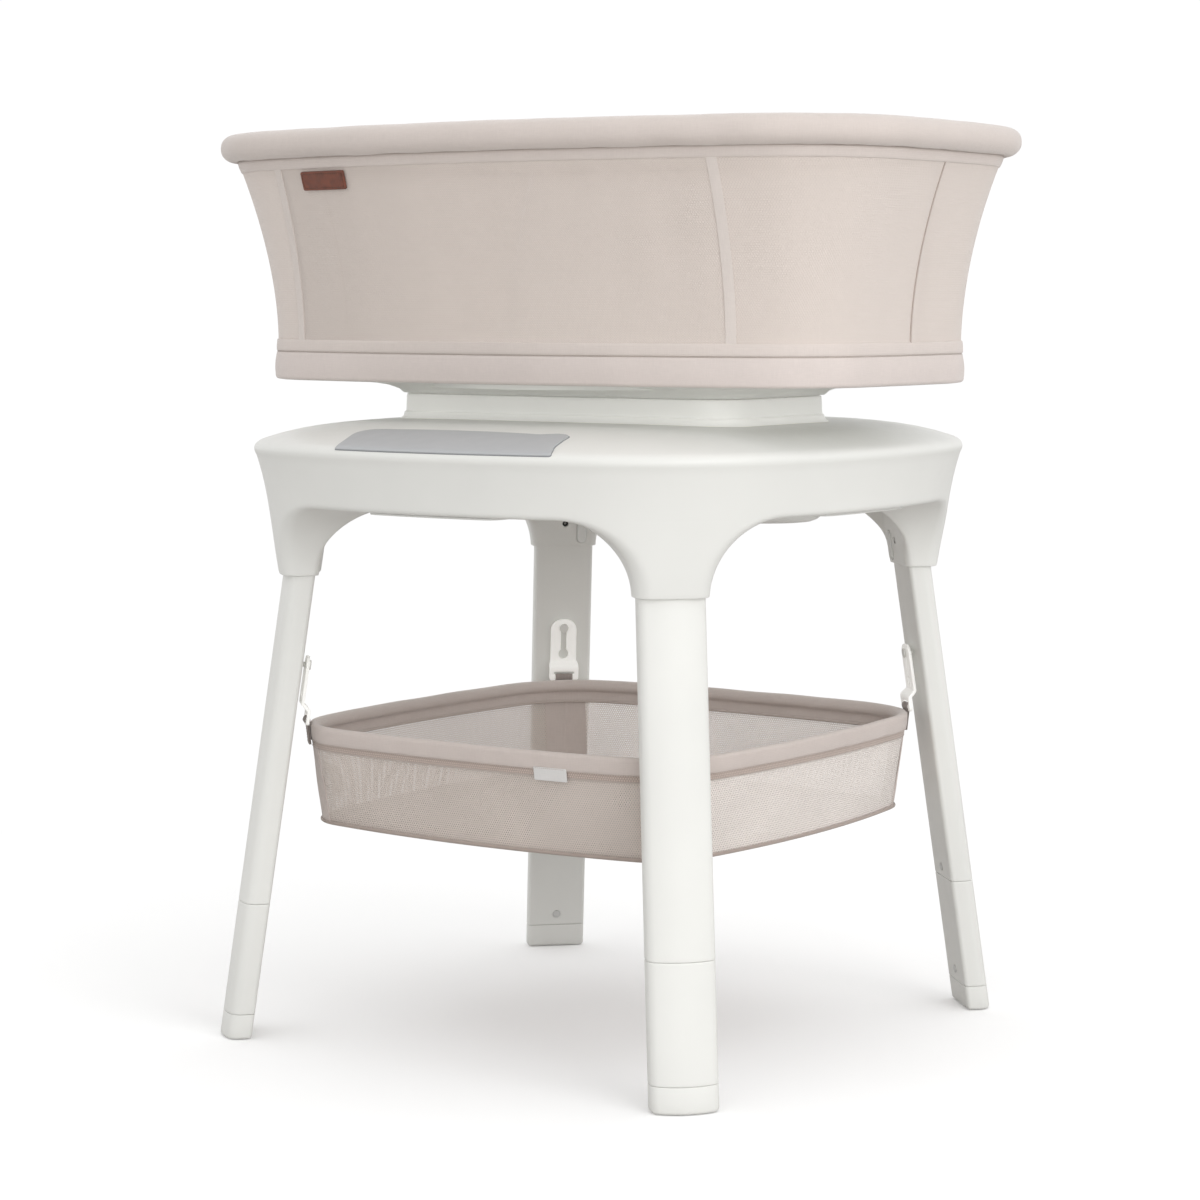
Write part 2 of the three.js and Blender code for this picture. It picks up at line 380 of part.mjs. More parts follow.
// circuit board near the panel, and the power inlet at the back
const chip = (w, d, h, x, y) => move(block(w, d, h + 0.4), x, y, 1.2);
const board = join(block(150, 70, 1.6), chip(18, 18, 3, -30, 5), chip(30, 14, 9, 35, -18), chip(12, 12, 12, 55, 14), chip(24, 8, 6, -10, 27), chip(10, 10, 2, 10, 2), move(cyl(3, 3.5, 10), -65, 27, -3), move(cyl(3, 3.5, 10), 65, 27, -3), move(cyl(3, 3.5, 10), -65, -27, -3), move(cyl(3, 3.5, 10), 65, -27, -3));
add('circuit_board', move(board, -110, -190, 568.4), PCB);
const inlet = cut(join(cyl(7.9, 14, 16), move(block(20, 20, 8, 2), 0, 0, -6)), move(cyl(3.2, 30, 12), 0, 0, -3)).rotateX(-Math.PI / 2);
add('power_inlet', move(inlet, INLET_X, INLET_Y - 14.6, INLET_Z), DARK);

// ---------------------------------------------------------------- bassinet
function bassAt(z) {
  if (z <= MESH_BOT.z) return mix(SKIRT_BOT, MESH_BOT, (z - SKIRT_BOT.z) / (MESH_BOT.z - SKIRT_BOT.z));
  const t = Math.min(1, (z - MESH_BOT.z) / (RIM_SEAM.z - MESH_BOT.z)) ** FLARE;
  return mix(MESH_BOT, RIM_SEAM, t);
}
const NS = 3, NC = 4;
const ringAt = (z, d = 0) => at(outline(inset(bassAt(z), d), NS, NC), z);
const gridOf = (zs, d) => { const rs = zs.map(z => ringAt(z, d)); return rs[0].map((_, i) => rs.map(r => r[i])); };

// stiff base with a recess below that seats on the tray
add('base_board', join(loft([at(outline(inset(SKIRT_BOT, 6.4), NS, NC), 690.95), at(outline(inset(SKIRT_BOT, 6.4), NS, NC), 694)]), move(block(2 * PED_A - 70, 2 * PED_B - 50, 6, 16), 0, 0, 686.2)), WHITE2);
add('base_skirt', wall(gridOf([691.6, 693, 712, 732.6], 0), gridOf([691.6, 693, 712, 732.6], 5.6), true), FABRIC);
function tubeSection(path, i, r, n) {
  const m = path.length, a = path[(i + m - 1) % m], b = path[(i + 1) % m], t = b.clone().sub(a).normalize(), side = V(t.y, -t.x, 0).normalize(), up = V(0, 0, 1);
  return Array.from({ length: n }, (_, k) => { const w = 2 * Math.PI * (k + 0.5) / n; return path[i].clone().addScaledVector(side, r * Math.cos(w)).addScaledVector(up, r * Math.sin(w)); });
}
// four mesh walls, split at the ribs of the long sides
const wallZ = [733.4, 770, 815, 860, 895, 921.4], WALL_T = 2.2;
function wallPart(name, from, to) {
  const o = gridOf(wallZ, 0), i2 = gridOf(wallZ, WALL_T), n = o.length, oo = [], ii = [];
  for (let k = from; k <= to; k++) { oo.push(o[(k + n) % n]); ii.push(i2[(k + n) % n]); }
  // trim each end by the gap along the wall
  const nudge = (g, e, f) => g[e].map((p, j) => p.clone().addScaledVector(g[f][j].clone().sub(p).normalize(), GAP / 2 + 0.02));
  for (const g of [oo, ii]) { const last = g.length - 1, a = nudge(g, 0, 1), b = nudge(g, last, last - 1); g[0] = a; g[last] = b; }
  add(name, wall(oo, ii, false), FABRIC);
}
// point indices: 0 = +X middle, quarter = NS + NC + NS points
const Q = NS * 2 + NC, I_RB = NS + NC;                 // long side starts at the corner's end
wallPart('mesh_wall_right', -I_RB, I_RB);
wallPart('mesh_wall_back', I_RB, 2 * Q - I_RB);
wallPart('mesh_wall_left', 2 * Q - I_RB, 2 * Q + I_RB);
wallPart('mesh_wall_front', 2 * Q + I_RB, 4 * Q - I_RB);
// rim: round tube inside a padded cover that is open below
const rimLine = at(outline(RIM_SEAM, NS, NC), RIM_Z);
const rimDir = rimLine.map((_, i) => { const m = rimLine.length, t = rimLine[(i + 1) % m].clone().sub(rimLine[(i + m - 1) % m]).normalize(); return V(t.y, -t.x, 0); });
const rimCover = [];
{
  const sec = [];
  for (let k = 0; k <= 8; k++) { const a = -Math.PI / 2 + 0.25 + (2 * Math.PI - 0.72) * k / 8; sec.push([RIM_HALF_W * Math.cos(a), RIM_HALF_H * Math.sin(a)]); }
  for (let k = 5; k >= 0; k--) { const a = -Math.PI / 2 + 0.48 + (2 * Math.PI - 1.44) * k / 5; sec.push([(RIM_TUBE_R + 1.2) * Math.cos(a), (RIM_TUBE_R + 1.2) * Math.sin(a)]); }
  for (let i = 0; i < rimLine.length; i++) rimCover.push(sec.map(([u, v]) => rimLine[i].clone().addScaledVector(rimDir[i], u).add(V(0, 0, v))));
}
add('rim_cover', sweep(rimCover, true), FABRIC);
// welded frame: rim tube, base ring and four thin rods up the inside of the ribs
const rimTube = sweep(rimLine.map((p, i) => Array.from({ length: 6 }, (_, k) => { const w = 2 * Math.PI * k / 6; return p.clone().addScaledVector(rimDir[i], RIM_TUBE_R * 0.92 * Math.cos(w)).add(V(0, 0, RIM_TUBE_R * 0.92 * Math.sin(w))); })), true);
const baseRing = (() => { const c = ringAt(706, 11.5); return sweep(c.map((p, i) => tubeSection(c, i, 4, 4)), true); })();
function ribRod(sx, sy) {
  const x = RIB_X - 3, path = [[704, 11.4], [714, 9.4], [732, 9.4], [743, 6.6], [800, 6.6], [870, 6.4], [922, 5.6], [935, 5.6]];
  return loft(path.map(([z, d]) => {
    const o = inset(bassAt(z), d), Rx = 1 / o.kx, over = Math.max(0, x - (o.A - o.R));
    const y = o.B - (Rx - Math.sqrt(Rx * Rx - x * x)) - (over > 0 ? o.R - Math.sqrt(o.R * o.R - over * over) - over * over * o.kx * 0.5 : 0);
    return Array.from({ length: 6 }, (_, k) => V(sx * x + 2.1 * Math.cos(k * Math.PI / 3), sy * y + 2.1 * Math.sin(k * Math.PI / 3), z));
  }));
}
add('bassinet_frame', join(rimTube, baseRing, ...LEGS.map(([, sx, sy]) => ribRod(sx, sy))), STEEL);
// mattress
const mz = 698, mi = z => at(outline(inset(bassAt(736), 24), NS, NC), z);
add('mattress', loft([at(outline(inset(bassAt(736), 32), NS, NC), mz + 0), at(outline(inset(bassAt(736), 27), NS, NC), mz + 5), at(outline(inset(bassAt(736), 27), NS, NC), mz + MATTRESS_T - 6), at(outline(inset(bassAt(736), 33), NS, NC), mz + MATTRESS_T)]), FOAM);
// small leather tag sewn on the front wall
function onFront(x, z, off) { const o = bassAt(z), Rx = 1 / o.kx; return V(x, -(o.B - (Rx - Math.sqrt(Rx * Rx - x * x))) - off, z); }
const tag = off => [-232, -215, -198, -182, -165].map(x => [890, 909].map(z => onFront(x, z, off)));
add('leather_tag', wall(tag(2.8), tag(1.3), false), LEATHER);

// ---------------------------------------------------------------- basket
const bkAt = z => mix(BK_BOT, BK_TOP, (z - BK_BOT.z) / (BK_TOP.z - BK_BOT.z));
const bkGrid = (zs, d) => { const rs = zs.map(z => at(outline(inset(bkAt(z), d), 3, 4), z)); return rs[0].map((_, i) => rs.map(r => r[i])); };
add('basket_walls', wall(bkGrid([229.6, 262, BK_TOP.z - BK_BAND - 0.4], 0), bkGrid([229.6, 262, BK_TOP.z - BK_BAND - 0.4], 2), true), FABRIC);
add('basket_floor', loft([at(outline(inset(BK_BOT, 0.6), 3, 4), 225), at(outline(inset(BK_BOT, -0.6), 3, 4), 227), at(outline(inset(BK_BOT, 0.6), 3, 4), 229.2)]), FABRIC2);
add('basket_rim_band', wall(bkGrid([BK_TOP.z - BK_BAND, BK_TOP.z], -0.8), bkGrid([BK_TOP.z - BK_BAND, BK_TOP.z], 2.8), true), FABRIC2);
add('basket_rim_wire', (() => { const c = at(outline(inset(BK_TOP, 7.6), 3, 4), BK_TOP.z - 7); return sweep(c.map((p, i) => tubeSection(c, i, 2.4, 4)), true); })(), STEEL);
// hook plates that hang on pegs on the inner faces of the legs, and webbing down to the rim
function hookPlate() {
  const s = new THREE.Shape(), L = HOOK_Z1 - 352;                    // flat part, local y from 0 up
  s.moveTo(-15, 0); s.lineTo(15, 0); s.lineTo(15, L - 14); s.absarc(1, L - 14, 14, 0, Math.PI / 2); s.lineTo(-3, L); s.absarc(-3, L - 12, 12, Math.PI / 2, Math.PI); s.lineTo(-15, 0);
  const keyhole = new THREE.Path();
  keyhole.moveTo(3, L - 12); keyhole.absarc(0, L - 10, 3.4, 0, Math.PI); keyhole.lineTo(-3.4, 16); keyhole.absarc(0, 11, 6, 2.2, 2.2 + 4.9); keyhole.lineTo(3.4, L - 10);
  s.holes.push(keyhole);
  return plate(s, HOOK_T, 5);
}
function hook() {
  // lower arm: steps towards the centre, then drops to the webbing slot
  const prof = new THREE.Shape();                                     // x = out from the face, y = up
  prof.moveTo(0, 0.5); prof.lineTo(HOOK_T, 0.5); prof.lineTo(HOOK_T + 7.5, -6); prof.lineTo(HOOK_T + 7.5, -16); prof.lineTo(7.5, -16); prof.lineTo(7.5, -7.5); prof.lineTo(0, -3);
  prof.closePath();
  // turned so that its width runs across the leg and its x runs towards the centre
  const arm = new THREE.ExtrudeGeometry(prof, { depth: 34, bevelEnabled: false }).rotateY(-Math.PI / 2).translate(17, 0, 0);
  const slot = move(block(23, 3.4, 20), 0, -9.5, 2);
  return cut(join(hookPlate(), arm), slot);
}
for (const [name, sx, sy] of LEGS) add(`basket_hook_${name}`, put(hook(), innerFace(sx, sy, HOOK_REF, HOOK_STAND)), WHITE);
for (const [name, sx, sy] of LEGS) {
  const m = innerFace(sx, sy, HOOK_REF, HOOK_STAND), er = V(sx * Math.SQRT1_2, sy * Math.SQRT1_2, 0), et = V(-er.y, er.x, 0);
  // webbing: up from the outside of the rim band, over the slot
  const topP = V(0, -12.2, HOOK_T + 7.5 + 0.4).applyMatrix4(m), low = bkCorner(sx, sy, BK_TOP.z, -3);
  const d0 = topP.dot(er), d1 = low.dot(er);
  const pts = [[d1, BK_TOP.z - 22], [d1 + 0.2, BK_TOP.z + 0.5], [d0, topP.z - 4], [d0 - 0.2, topP.z + 2.5]];
  const w = 10, colA = t => [], out = [], inn = [];
  for (const t of [-w, w]) {
    out.push(pts.map(([d, z]) => er.clone().multiplyScalar(d).addScaledVector(et, t).setZ(z)));
    inn.push(pts.map(([d, z]) => er.clone().multiplyScalar(d - 1.3).addScaledVector(et, t).setZ(z)));
  }
  add(`basket_strap_${name}`, wall(out, inn, false), FABRIC2);
}
function bkCorner(sx, sy, z, d) {
  const p = outline(inset(bkAt(z), d), 3, 4); let best = null, bd = -1e9;
  for (const q of p) { const v = (q[0] * sx + q[1] * sy) * Math.SQRT1_2; if (v > bd) { bd = v; best = q; } }
  return V(sx * bd * Math.SQRT1_2, sy * bd * Math.SQRT1_2, z);
}
const TAG_X = 109;
const bkTag = off => [-19, 0, 19].map(x => [BK_TOP.z - 25.5, BK_TOP.z - 13.5].map(z => { const o = inset(bkAt(z), -0.8), Rx = 1 / o.kx; return V(x + TAG_X, -(o.B - (Rx - Math.sqrt(Rx * Rx - (x + TAG_X) ** 2))) - off, z); }));
add('basket_tag', wall(bkTag(1.5), bkTag(0.35), false), GREY);

export default bed;
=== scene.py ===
import bpy, bmesh, math
import numpy as np
from mathutils import Vector, Matrix

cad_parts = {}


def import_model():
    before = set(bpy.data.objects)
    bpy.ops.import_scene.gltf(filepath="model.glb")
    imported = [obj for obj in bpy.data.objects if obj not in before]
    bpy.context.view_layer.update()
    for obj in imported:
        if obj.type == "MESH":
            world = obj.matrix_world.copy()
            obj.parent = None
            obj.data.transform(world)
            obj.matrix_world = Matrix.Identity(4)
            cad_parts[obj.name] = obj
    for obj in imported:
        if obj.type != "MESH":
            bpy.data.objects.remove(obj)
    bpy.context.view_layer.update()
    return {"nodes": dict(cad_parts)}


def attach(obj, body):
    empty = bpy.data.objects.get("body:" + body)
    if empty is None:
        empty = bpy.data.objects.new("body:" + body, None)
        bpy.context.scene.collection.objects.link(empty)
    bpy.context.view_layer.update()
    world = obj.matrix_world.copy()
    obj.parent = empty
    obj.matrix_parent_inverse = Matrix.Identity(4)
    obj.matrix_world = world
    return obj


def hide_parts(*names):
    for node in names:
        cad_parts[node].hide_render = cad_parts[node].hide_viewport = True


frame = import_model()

scene = bpy.context.scene
nodes = frame["nodes"]
MM = 0.001
S2 = math.sqrt(0.5)

# ------------------------------------------------------------------ camera
cam_data = bpy.data.cameras.new("camera")
cam = bpy.data.objects.new("camera", cam_data)
scene.collection.objects.link(cam)
right, up, fwd = Vector((0.8196, 0.5729, 0.0)), Vector((-0.0579, 0.0829, 0.9949)), Vector((-0.5699, 0.8155, -0.1011))
rot = Matrix((right, up, -fwd)).transposed()
cam.matrix_world = Matrix.Translation((1.948, -2.7755, 0.7795)) @ rot.to_4x4()
cam_data.lens, cam_data.sensor_width = 95.29, 36.0
cam_data.shift_x, cam_data.shift_y = -0.01500, 0.01629
cam_data.clip_end = 60
cam_data.dof.use_dof = False
scene.camera = cam

# ------------------------------------------------------------------ helpers
rng = np.random.RandomState(7)

def sstep(x, a=0.0, b=1.0):
    t = np.clip((np.asarray(x, float) - a) / (b - a), 0, 1)
    return t * t * (3 - 2 * t)

def lerp(a, b, t):
    return a + (b - a) * t

class Build:
    """Collects grids and caps of one mesh, in millimetres."""
    def __init__(self):
        self.v, self.f, self.uv, self.m, self.n = [], [], [], [], 0

    def pts(self, P):
        P = np.asarray(P, float).reshape(-1, 3)
        i0 = self.n
        self.v.append(P); self.n += len(P)
        return np.arange(i0, self.n)

    def faces(self, F, uv=None, mat=0):
        F = np.asarray(F)
        self.f.extend(F.tolist())
        k = F.shape[1]
        self.uv.append(np.zeros((len(F) * k, 2)) if uv is None else np.asarray(uv, float).reshape(-1, 2))
        self.m.extend([mat] * len(F))

    def grid(self, P, cu=False, cv=False, uv=None, mat=0, flip=False):
        P = np.asarray(P, float)
        nu, nv = P.shape[:2]
        idx = self.pts(P).reshape(nu, nv)
        a, b, c, d = idx, np.roll(idx, -1, 0), np.roll(np.roll(idx, -1, 0), -1, 1), np.roll(idx, -1, 1)
        mu, mv = (nu if cu else nu - 1), (nv if cv else nv - 1)
        q = np.stack([a, b, c, d], -1)[:mu, :mv]
        t = None
        if uv is not None:
            t = np.stack([uv[:mu, :mv], uv[1:mu + 1, :mv], uv[1:mu + 1, 1:mv + 1], uv[:mu, 1:mv + 1]], 2)
        if flip:
            q = q[..., ::-1]
            if t is not None:
                t = t[:, :, ::-1]
        self.faces(q.reshape(-1, 4), None if t is None else t.reshape(-1, 4, 2), mat)
        return idx

    def fan(self, ring, centre=None, mat=0, flip=False):
        ring = np.asarray(ring)
        allv = np.concatenate(self.v)
        c = allv[ring].mean(0) if centre is None else centre
        ci = self.pts([c])[0]
        nx = np.roll(ring, -1)
        F = np.stack([np.full(len(ring), ci), ring, nx], -1)
        self.faces(F[:, ::-1] if flip else F, mat=mat)

    def zipper(self, la, lb, mat=0):
        """Joins two closed loops with different point counts, by angle about the z axis."""
        allv = np.concatenate(self.v)
        def order(l):
            a = np.unwrap(np.arctan2(allv[l][:, 1], allv[l][:, 0]))
            if a[-1] < a[0]:
                l = l[::-1]
            a = np.arctan2(allv[l][:, 1], allv[l][:, 0])
            k = int(np.argmin(a)); l = np.roll(l, -k)
            return l, np.unwrap(np.arctan2(allv[l][:, 1], allv[l][:, 0]))
        la, aa = order(np.asarray(la)); lb, ab = order(np.asarray(lb))
        i = j = 0; na, nb = len(la), len(lb); F = []
        while i < na or j < nb:
            ga = aa[(i + 1) % na] + (2 * math.pi if i + 1 >= na else 0) if i < na else 1e9
            gb = ab[(j + 1) % nb] + (2 * math.pi if j + 1 >= nb else 0) if j < nb else 1e9
            if ga <= gb:
                F.append([la[i % na], la[(i + 1) % na], lb[j % nb]]); i += 1
            else:
                F.append([la[i % na], lb[(j + 1) % nb], lb[j % nb]]); j += 1
        self.faces(np.array(F), mat=mat)

    def mesh(self, name, weld=0.02, recalc=True):
        me = bpy.data.meshes.new(name)
        V = np.concatenate(self.v) * MM
        me.from_pydata(V.tolist(), [], self.f)
        uvl = me.uv_layers.new(name="UVMap")
        uvl.data.foreach_set("uv", (np.concatenate(self.uv) * MM).ravel())
        me.polygons.foreach_set("material_index", self.m)
        bm = bmesh.new(); bm.from_mesh(me)
        if weld:
            bmesh.ops.remove_doubles(bm, verts=bm.verts, dist=weld * MM)
            bad = [f for f in bm.faces if f.calc_area() < 1e-13]
            if bad:
                bmesh.ops.delete(bm, geom=bad, context="FACES_ONLY")
        if recalc:
            bmesh.ops.recalc_face_normals(bm, faces=bm.faces)
        bm.to_mesh(me); bm.free()
        me.update()
        return me

def shade(me, angle=38):
    me.shade_smooth()
    me.set_sharp_from_angle(angle=math.radians(angle))

def obj(name, me, mats, body, stands_for=(), angle=38):
    if isinstance(me, Build):
        me = me.mesh(name)
    me.name = name
    ob = bpy.data.objects.new(name, me)
    scene.collection.objects.link(ob)
    me.materials.clear()
    for m in (mats if isinstance(mats, (list, tuple)) else [mats]):
        me.materials.append(m)
    shade(me, angle)
    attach(ob, body)
    if stands_for:
        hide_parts(*([stands_for] if isinstance(stands_for, str) else stands_for))
    return ob

def boolean(ob, cutter_me, op="DIFFERENCE"):
    c = bpy.data.objects.new("cutter", cutter_me)
    scene.collection.objects.link(c)
    m = ob.modifiers.new("cut", "BOOLEAN")
    m.operation, m.solver, m.object = op, "EXACT", c
    m.use_self = False
    dg = bpy.context.evaluated_depsgraph_get()
    me = bpy.data.meshes.new_from_object(ob.evaluated_get(dg))
    ob.modifiers.remove(m)
    old = ob.data
    ob.data = me
    nm = old.name
    bpy.data.meshes.remove(old); me.name = nm
    bpy.data.objects.remove(c)
    return ob

def bow_outline(o, ns=24, nc=24):
    A, B, kx, ky, R = o["A"], o["B"], max(o["kx"], 1e-6), max(o["ky"], 1e-6), o["R"]
    Rx, Ry = 1 / kx, 1 / ky
    cy, cx, r1, r2 = -(Rx - B), -(Ry - A), Rx - R, Ry - R
    x, y = A - R, B - R
    for _ in range(40):
        f1, f2 = x * x + (y - cy) ** 2 - r1 * r1, (x - cx) ** 2 + y * y - r2 * r2
        a, b, c, d = 2 * x, 2 * (y - cy), 2 * (x - cx), 2 * y
        det = a * d - b * c
        x += (-f1 * d + f2 * b) / det; y += (-a * f2 + c * f1) / det
    a2, a1 = math.atan2(y, x - cx), math.atan2(y - cy, x)
    t = a2 * np.arange(ns) / ns
    q = [np.stack([cx + Ry * np.cos(t), Ry * np.sin(t)], 1)]
    t = a2 + (a1 - a2) * np.arange(nc) / nc
    q.append(np.stack([x + R * np.cos(t), y + R * np.sin(t)], 1))
    t = a1 + (math.pi / 2 - a1) * np.arange(ns) / ns
    q.append(np.stack([Rx * np.cos(t), cy + Rx * np.sin(t)], 1))
    q = np.concatenate(q)
    m = q[:0:-1]
    return np.concatenate([q, [[0, B]], m * [-1, 1], [[-A, 0]], -q[1:], [[0, -B]], m * [1, -1]])

def inset(o, d):
    return dict(A=o["A"] - d, B=o["B"] - d, kx=1 / (1 / o["kx"] - d), ky=1 / (1 / o["ky"] - d), R=max(2.0, o["R"] - d))

def mixo(a, b, t):
    return {k: lerp(a[k], b[k], t) for k in ("A", "B", "kx", "ky", "R")}

def at(p2, z):
    p2 = np.asarray(p2, float)
    return np.concatenate([p2, np.broadcast_to(np.asarray(z, float).reshape(-1, 1) if np.ndim(z) else np.full((len(p2), 1), float(z)), (len(p2), 1))], 1)

def polar(p2, phi):
    """Radius of a closed outline about the origin at the angles phi."""
    a = np.arctan2(p2[:, 1], p2[:, 0]); r = np.hypot(p2[:, 0], p2[:, 1])
    k = np.argsort(a); a, r = a[k], r[k]
    a = np.concatenate([a - 2 * math.pi, a, a + 2 * math.pi]); r = np.concatenate([r, r, r])
    return np.interp(phi, a, r)

def resample(p, n, closed=False):
    p = np.asarray(p, float)
    if closed:
        p = np.concatenate([p, p[:1]])
    s = np.concatenate([[0], np.cumsum(np.linalg.norm(np.diff(p, axis=0), axis=1))])
    t = np.linspace(0, s[-1], n + 1 if closed else n)
    q = np.stack([np.interp(t, s, p[:, k]) for k in range(p.shape[1])], 1)
    return q[:-1] if closed else q

def waves(u, v, seed, n=7, lu=(30, 120), lv=(20, 90)):
    """Smooth deterministic noise in about -1..1 over two coordinates in millimetres."""
    r = np.random.RandomState(seed); out = 0
    for _ in range(n):
        a, b = r.uniform(*lu), r.uniform(*lv)
        out = out + np.sin(2 * math.pi * u / a + 2 * math.pi * v / b * r.choice([-1, 1]) + r.uniform(0, 6.28))
    return out / math.sqrt(n) / 1.4

def capsule(b, p0, p1, r, n=8, m=4, mat=0):
    p0, p1 = np.array(p0, float), np.array(p1, float)
    ax = p1 - p0; L = np.linalg.norm(ax); ax /= L
    s = np.cross(ax, [0, 0, 1.0]);
    if np.linalg.norm(s) < 1e-3: s = np.cross(ax, [0, 1.0, 0])
    s /= np.linalg.norm(s); t = np.cross(ax, s)
    rows = []
    for k in range(2 * m):
        a = -math.pi / 2 + math.pi * (k + 0.5) / (2 * m)
        o = (p0 if k < m else p1) + ax * r * math.sin(a)
        rows.append([o + (s * math.cos(w) + t * math.sin(w)) * r * math.cos(a) for w in np.arange(n) * 2 * math.pi / n])
    idx = b.grid(np.array(rows).transpose(1, 0, 2), cu=True, mat=mat)
    b.fan(idx[:, 0], mat=mat); b.fan(idx[::-1, -1], mat=mat)

def lathe(b, prof, M, n=32, mat=0):
    """prof: (radius, height) pairs about local z, both ends on the axis or closed by a fan; M: 4x4 in mm."""
    w = np.arange(n) * 2 * math.pi / n
    P = np.array([[[r * math.cos(a), r * math.sin(a), h] for r, h in prof] for a in w])
    P = P.reshape(-1, 3) @ M[:3, :3].T + M[:3, 3]
    P = P.reshape(n, len(prof), 3)
    idx = b.grid(P, cu=True, mat=mat)
    b.fan(idx[:, 0], mat=mat); b.fan(idx[::-1, -1], mat=mat)

def rrect(w, d, r, n=8):
    p = []
    for cx, cy, a0 in ((w / 2 - r, d / 2 - r, 0), (-w / 2 + r, d / 2 - r, 90), (-w / 2 + r, -d / 2 + r, 180), (w / 2 - r, -d / 2 + r, 270)):
        for k in range(n + 1):
            a = math.radians(a0 + 90 * k / n)
            p.append([cx + r * math.cos(a), cy + r * math.sin(a)])
    return np.array(p)

def prism(b, p2, z0, z1, bev=0.6, M=None, mat=0):
    """Extruded closed 2-D outline with small bevels, as one closed body. bev may be 0."""
    p2 = np.asarray(p2, float)
    c = p2.mean(0)
    ext = np.abs(p2 - c).max(0)
    sc = 1 - bev / np.maximum(ext, 1e-6)
    rows = [at(c + (p2 - c) * sc, z0), at(p2, z0 + bev), at(p2, z1 - bev), at(c + (p2 - c) * sc, z1)] if bev else [at(p2, z0), at(p2, z1)]
    P = np.array(rows).transpose(1, 0, 2)
    if M is not None:
        P = (P.reshape(-1, 3) @ M[:3, :3].T + M[:3, 3]).reshape(P.shape)
    idx = b.grid(P, cu=True, mat=mat)
    b.fan(idx[:, 0], mat=mat); b.fan(idx[::-1, -1], mat=mat)

def trans(x, y, z):
    M = np.eye(4); M[:3, 3] = (x, y, z); return M

# ------------------------------------------------------------------ materials
def N(nt, kind, ins=None, **props):
    n = nt.nodes.new(kind)
    for k, v in props.items():
        setattr(n, k, v)
    for k, v in (ins or {}).items():
        if isinstance(v, bpy.types.NodeSocket):
            nt.links.new(v, n.inputs[k])
        else:
            n.inputs[k].default_value = v
    return n

def math_(nt, op, a, b=None, c=None, clamp=False):
    ins = {0: a}
    if b is not None: ins[1] = b
    if c is not None: ins[2] = c
    return N(nt, "ShaderNodeMath", ins, operation=op, use_clamp=clamp).outputs[0]

def new_mat(name, rough=0.5, metal=0.0, spec=0.5, sheen=0.0, coat=0.0):
    m = bpy.data.materials.new(name)
    m.use_nodes = True
    nt = m.node_tree
    nt.nodes.clear()
    out = N(nt, "ShaderNodeOutputMaterial")
    b = N(nt, "ShaderNodeBsdfPrincipled")
    b.inputs["Roughness"].default_value = rough
    b.inputs["Metallic"].default_value = metal
    b.inputs["Specular IOR Level"].default_value = spec
    if sheen:
        b.inputs["Sheen Weight"].default_value = sheen
        b.inputs["Sheen Roughness"].default_value = 0.4
    if coat:
        b.inputs["Coat Weight"].default_value = coat
        b.inputs["Coat Roughness"].default_value = 0.1
    nt.links.new(b.outputs[0], out.inputs[0])
    return m, nt, b

def ramp(nt, fac, lo, hi, a=0.0, b=1.0):
    """Mixes two colours by fac between a and b."""
    f = N(nt, "ShaderNodeMapRange", {0: fac, 1: a, 2: b, 3: 0.0, 4: 1.0}, clamp=True).outputs[0]
    n = N(nt, "ShaderNodeMix", {"Factor": f}, data_type="RGBA")
    n.inputs[6].default_value = (*lo, 1); n.inputs[7].default_value = (*hi, 1)
    return n.outputs[2]

def lin(rgb):
    return tuple(((c / 255) / 12.92 if c / 255 <= 0.04045 else ((c / 255 + 0.055) / 1.055) ** 2.4) for c in rgb)

def plastic(name, rgb, rough=0.4, grain=900.0, depth=0.035, spec=0.5, coat=0.0, var=0.03, painted_glow=0.0):
    m, nt, b = new_mat(name, rough, spec=spec, coat=coat)
    # painted_glow: an emission on a part that is no lamp, painted light that lifts a shaded part
    if painted_glow:
        b.inputs["Emission Color"].default_value = (1.0, 0.985, 0.96, 1)
        b.inputs["Emission Strength"].default_value = painted_glow
    co = N(nt, "ShaderNodeTexCoord").outputs["Object"]
    big = N(nt, "ShaderNodeTexNoise", {"Vector": co, "Scale": 5.0, "Detail": 3.0}).outputs["Fac"]
    c = lin(rgb)
    col = ramp(nt, big, tuple(x * (1 - var) for x in c), tuple(min(1, x * (1 + var)) for x in c), 0.3, 0.7)
    nt.links.new(col, b.inputs["Base Color"])
    fine = N(nt, "ShaderNodeTexNoise", {"Vector": co, "Scale": grain, "Detail": 2.0, "Roughness": 0.6}).outputs["Fac"]
    mid = N(nt, "ShaderNodeTexNoise", {"Vector": co, "Scale": 60.0, "Detail": 2.0}).outputs["Fac"]
    r = N(nt, "ShaderNodeMapRange", {0: mid, 1: 0.3, 2: 0.7, 3: rough - 0.04, 4: rough + 0.04}).outputs[0]
    nt.links.new(r, b.inputs["Roughness"])
    h = math_(nt, "MULTIPLY_ADD", mid, 1.2, fine)
    bump = N(nt, "ShaderNodeBump", {"Height": h, "Strength": depth, "Distance": 0.0006}).outputs[0]
    nt.links.new(bump, b.inputs["Normal"])
    return m

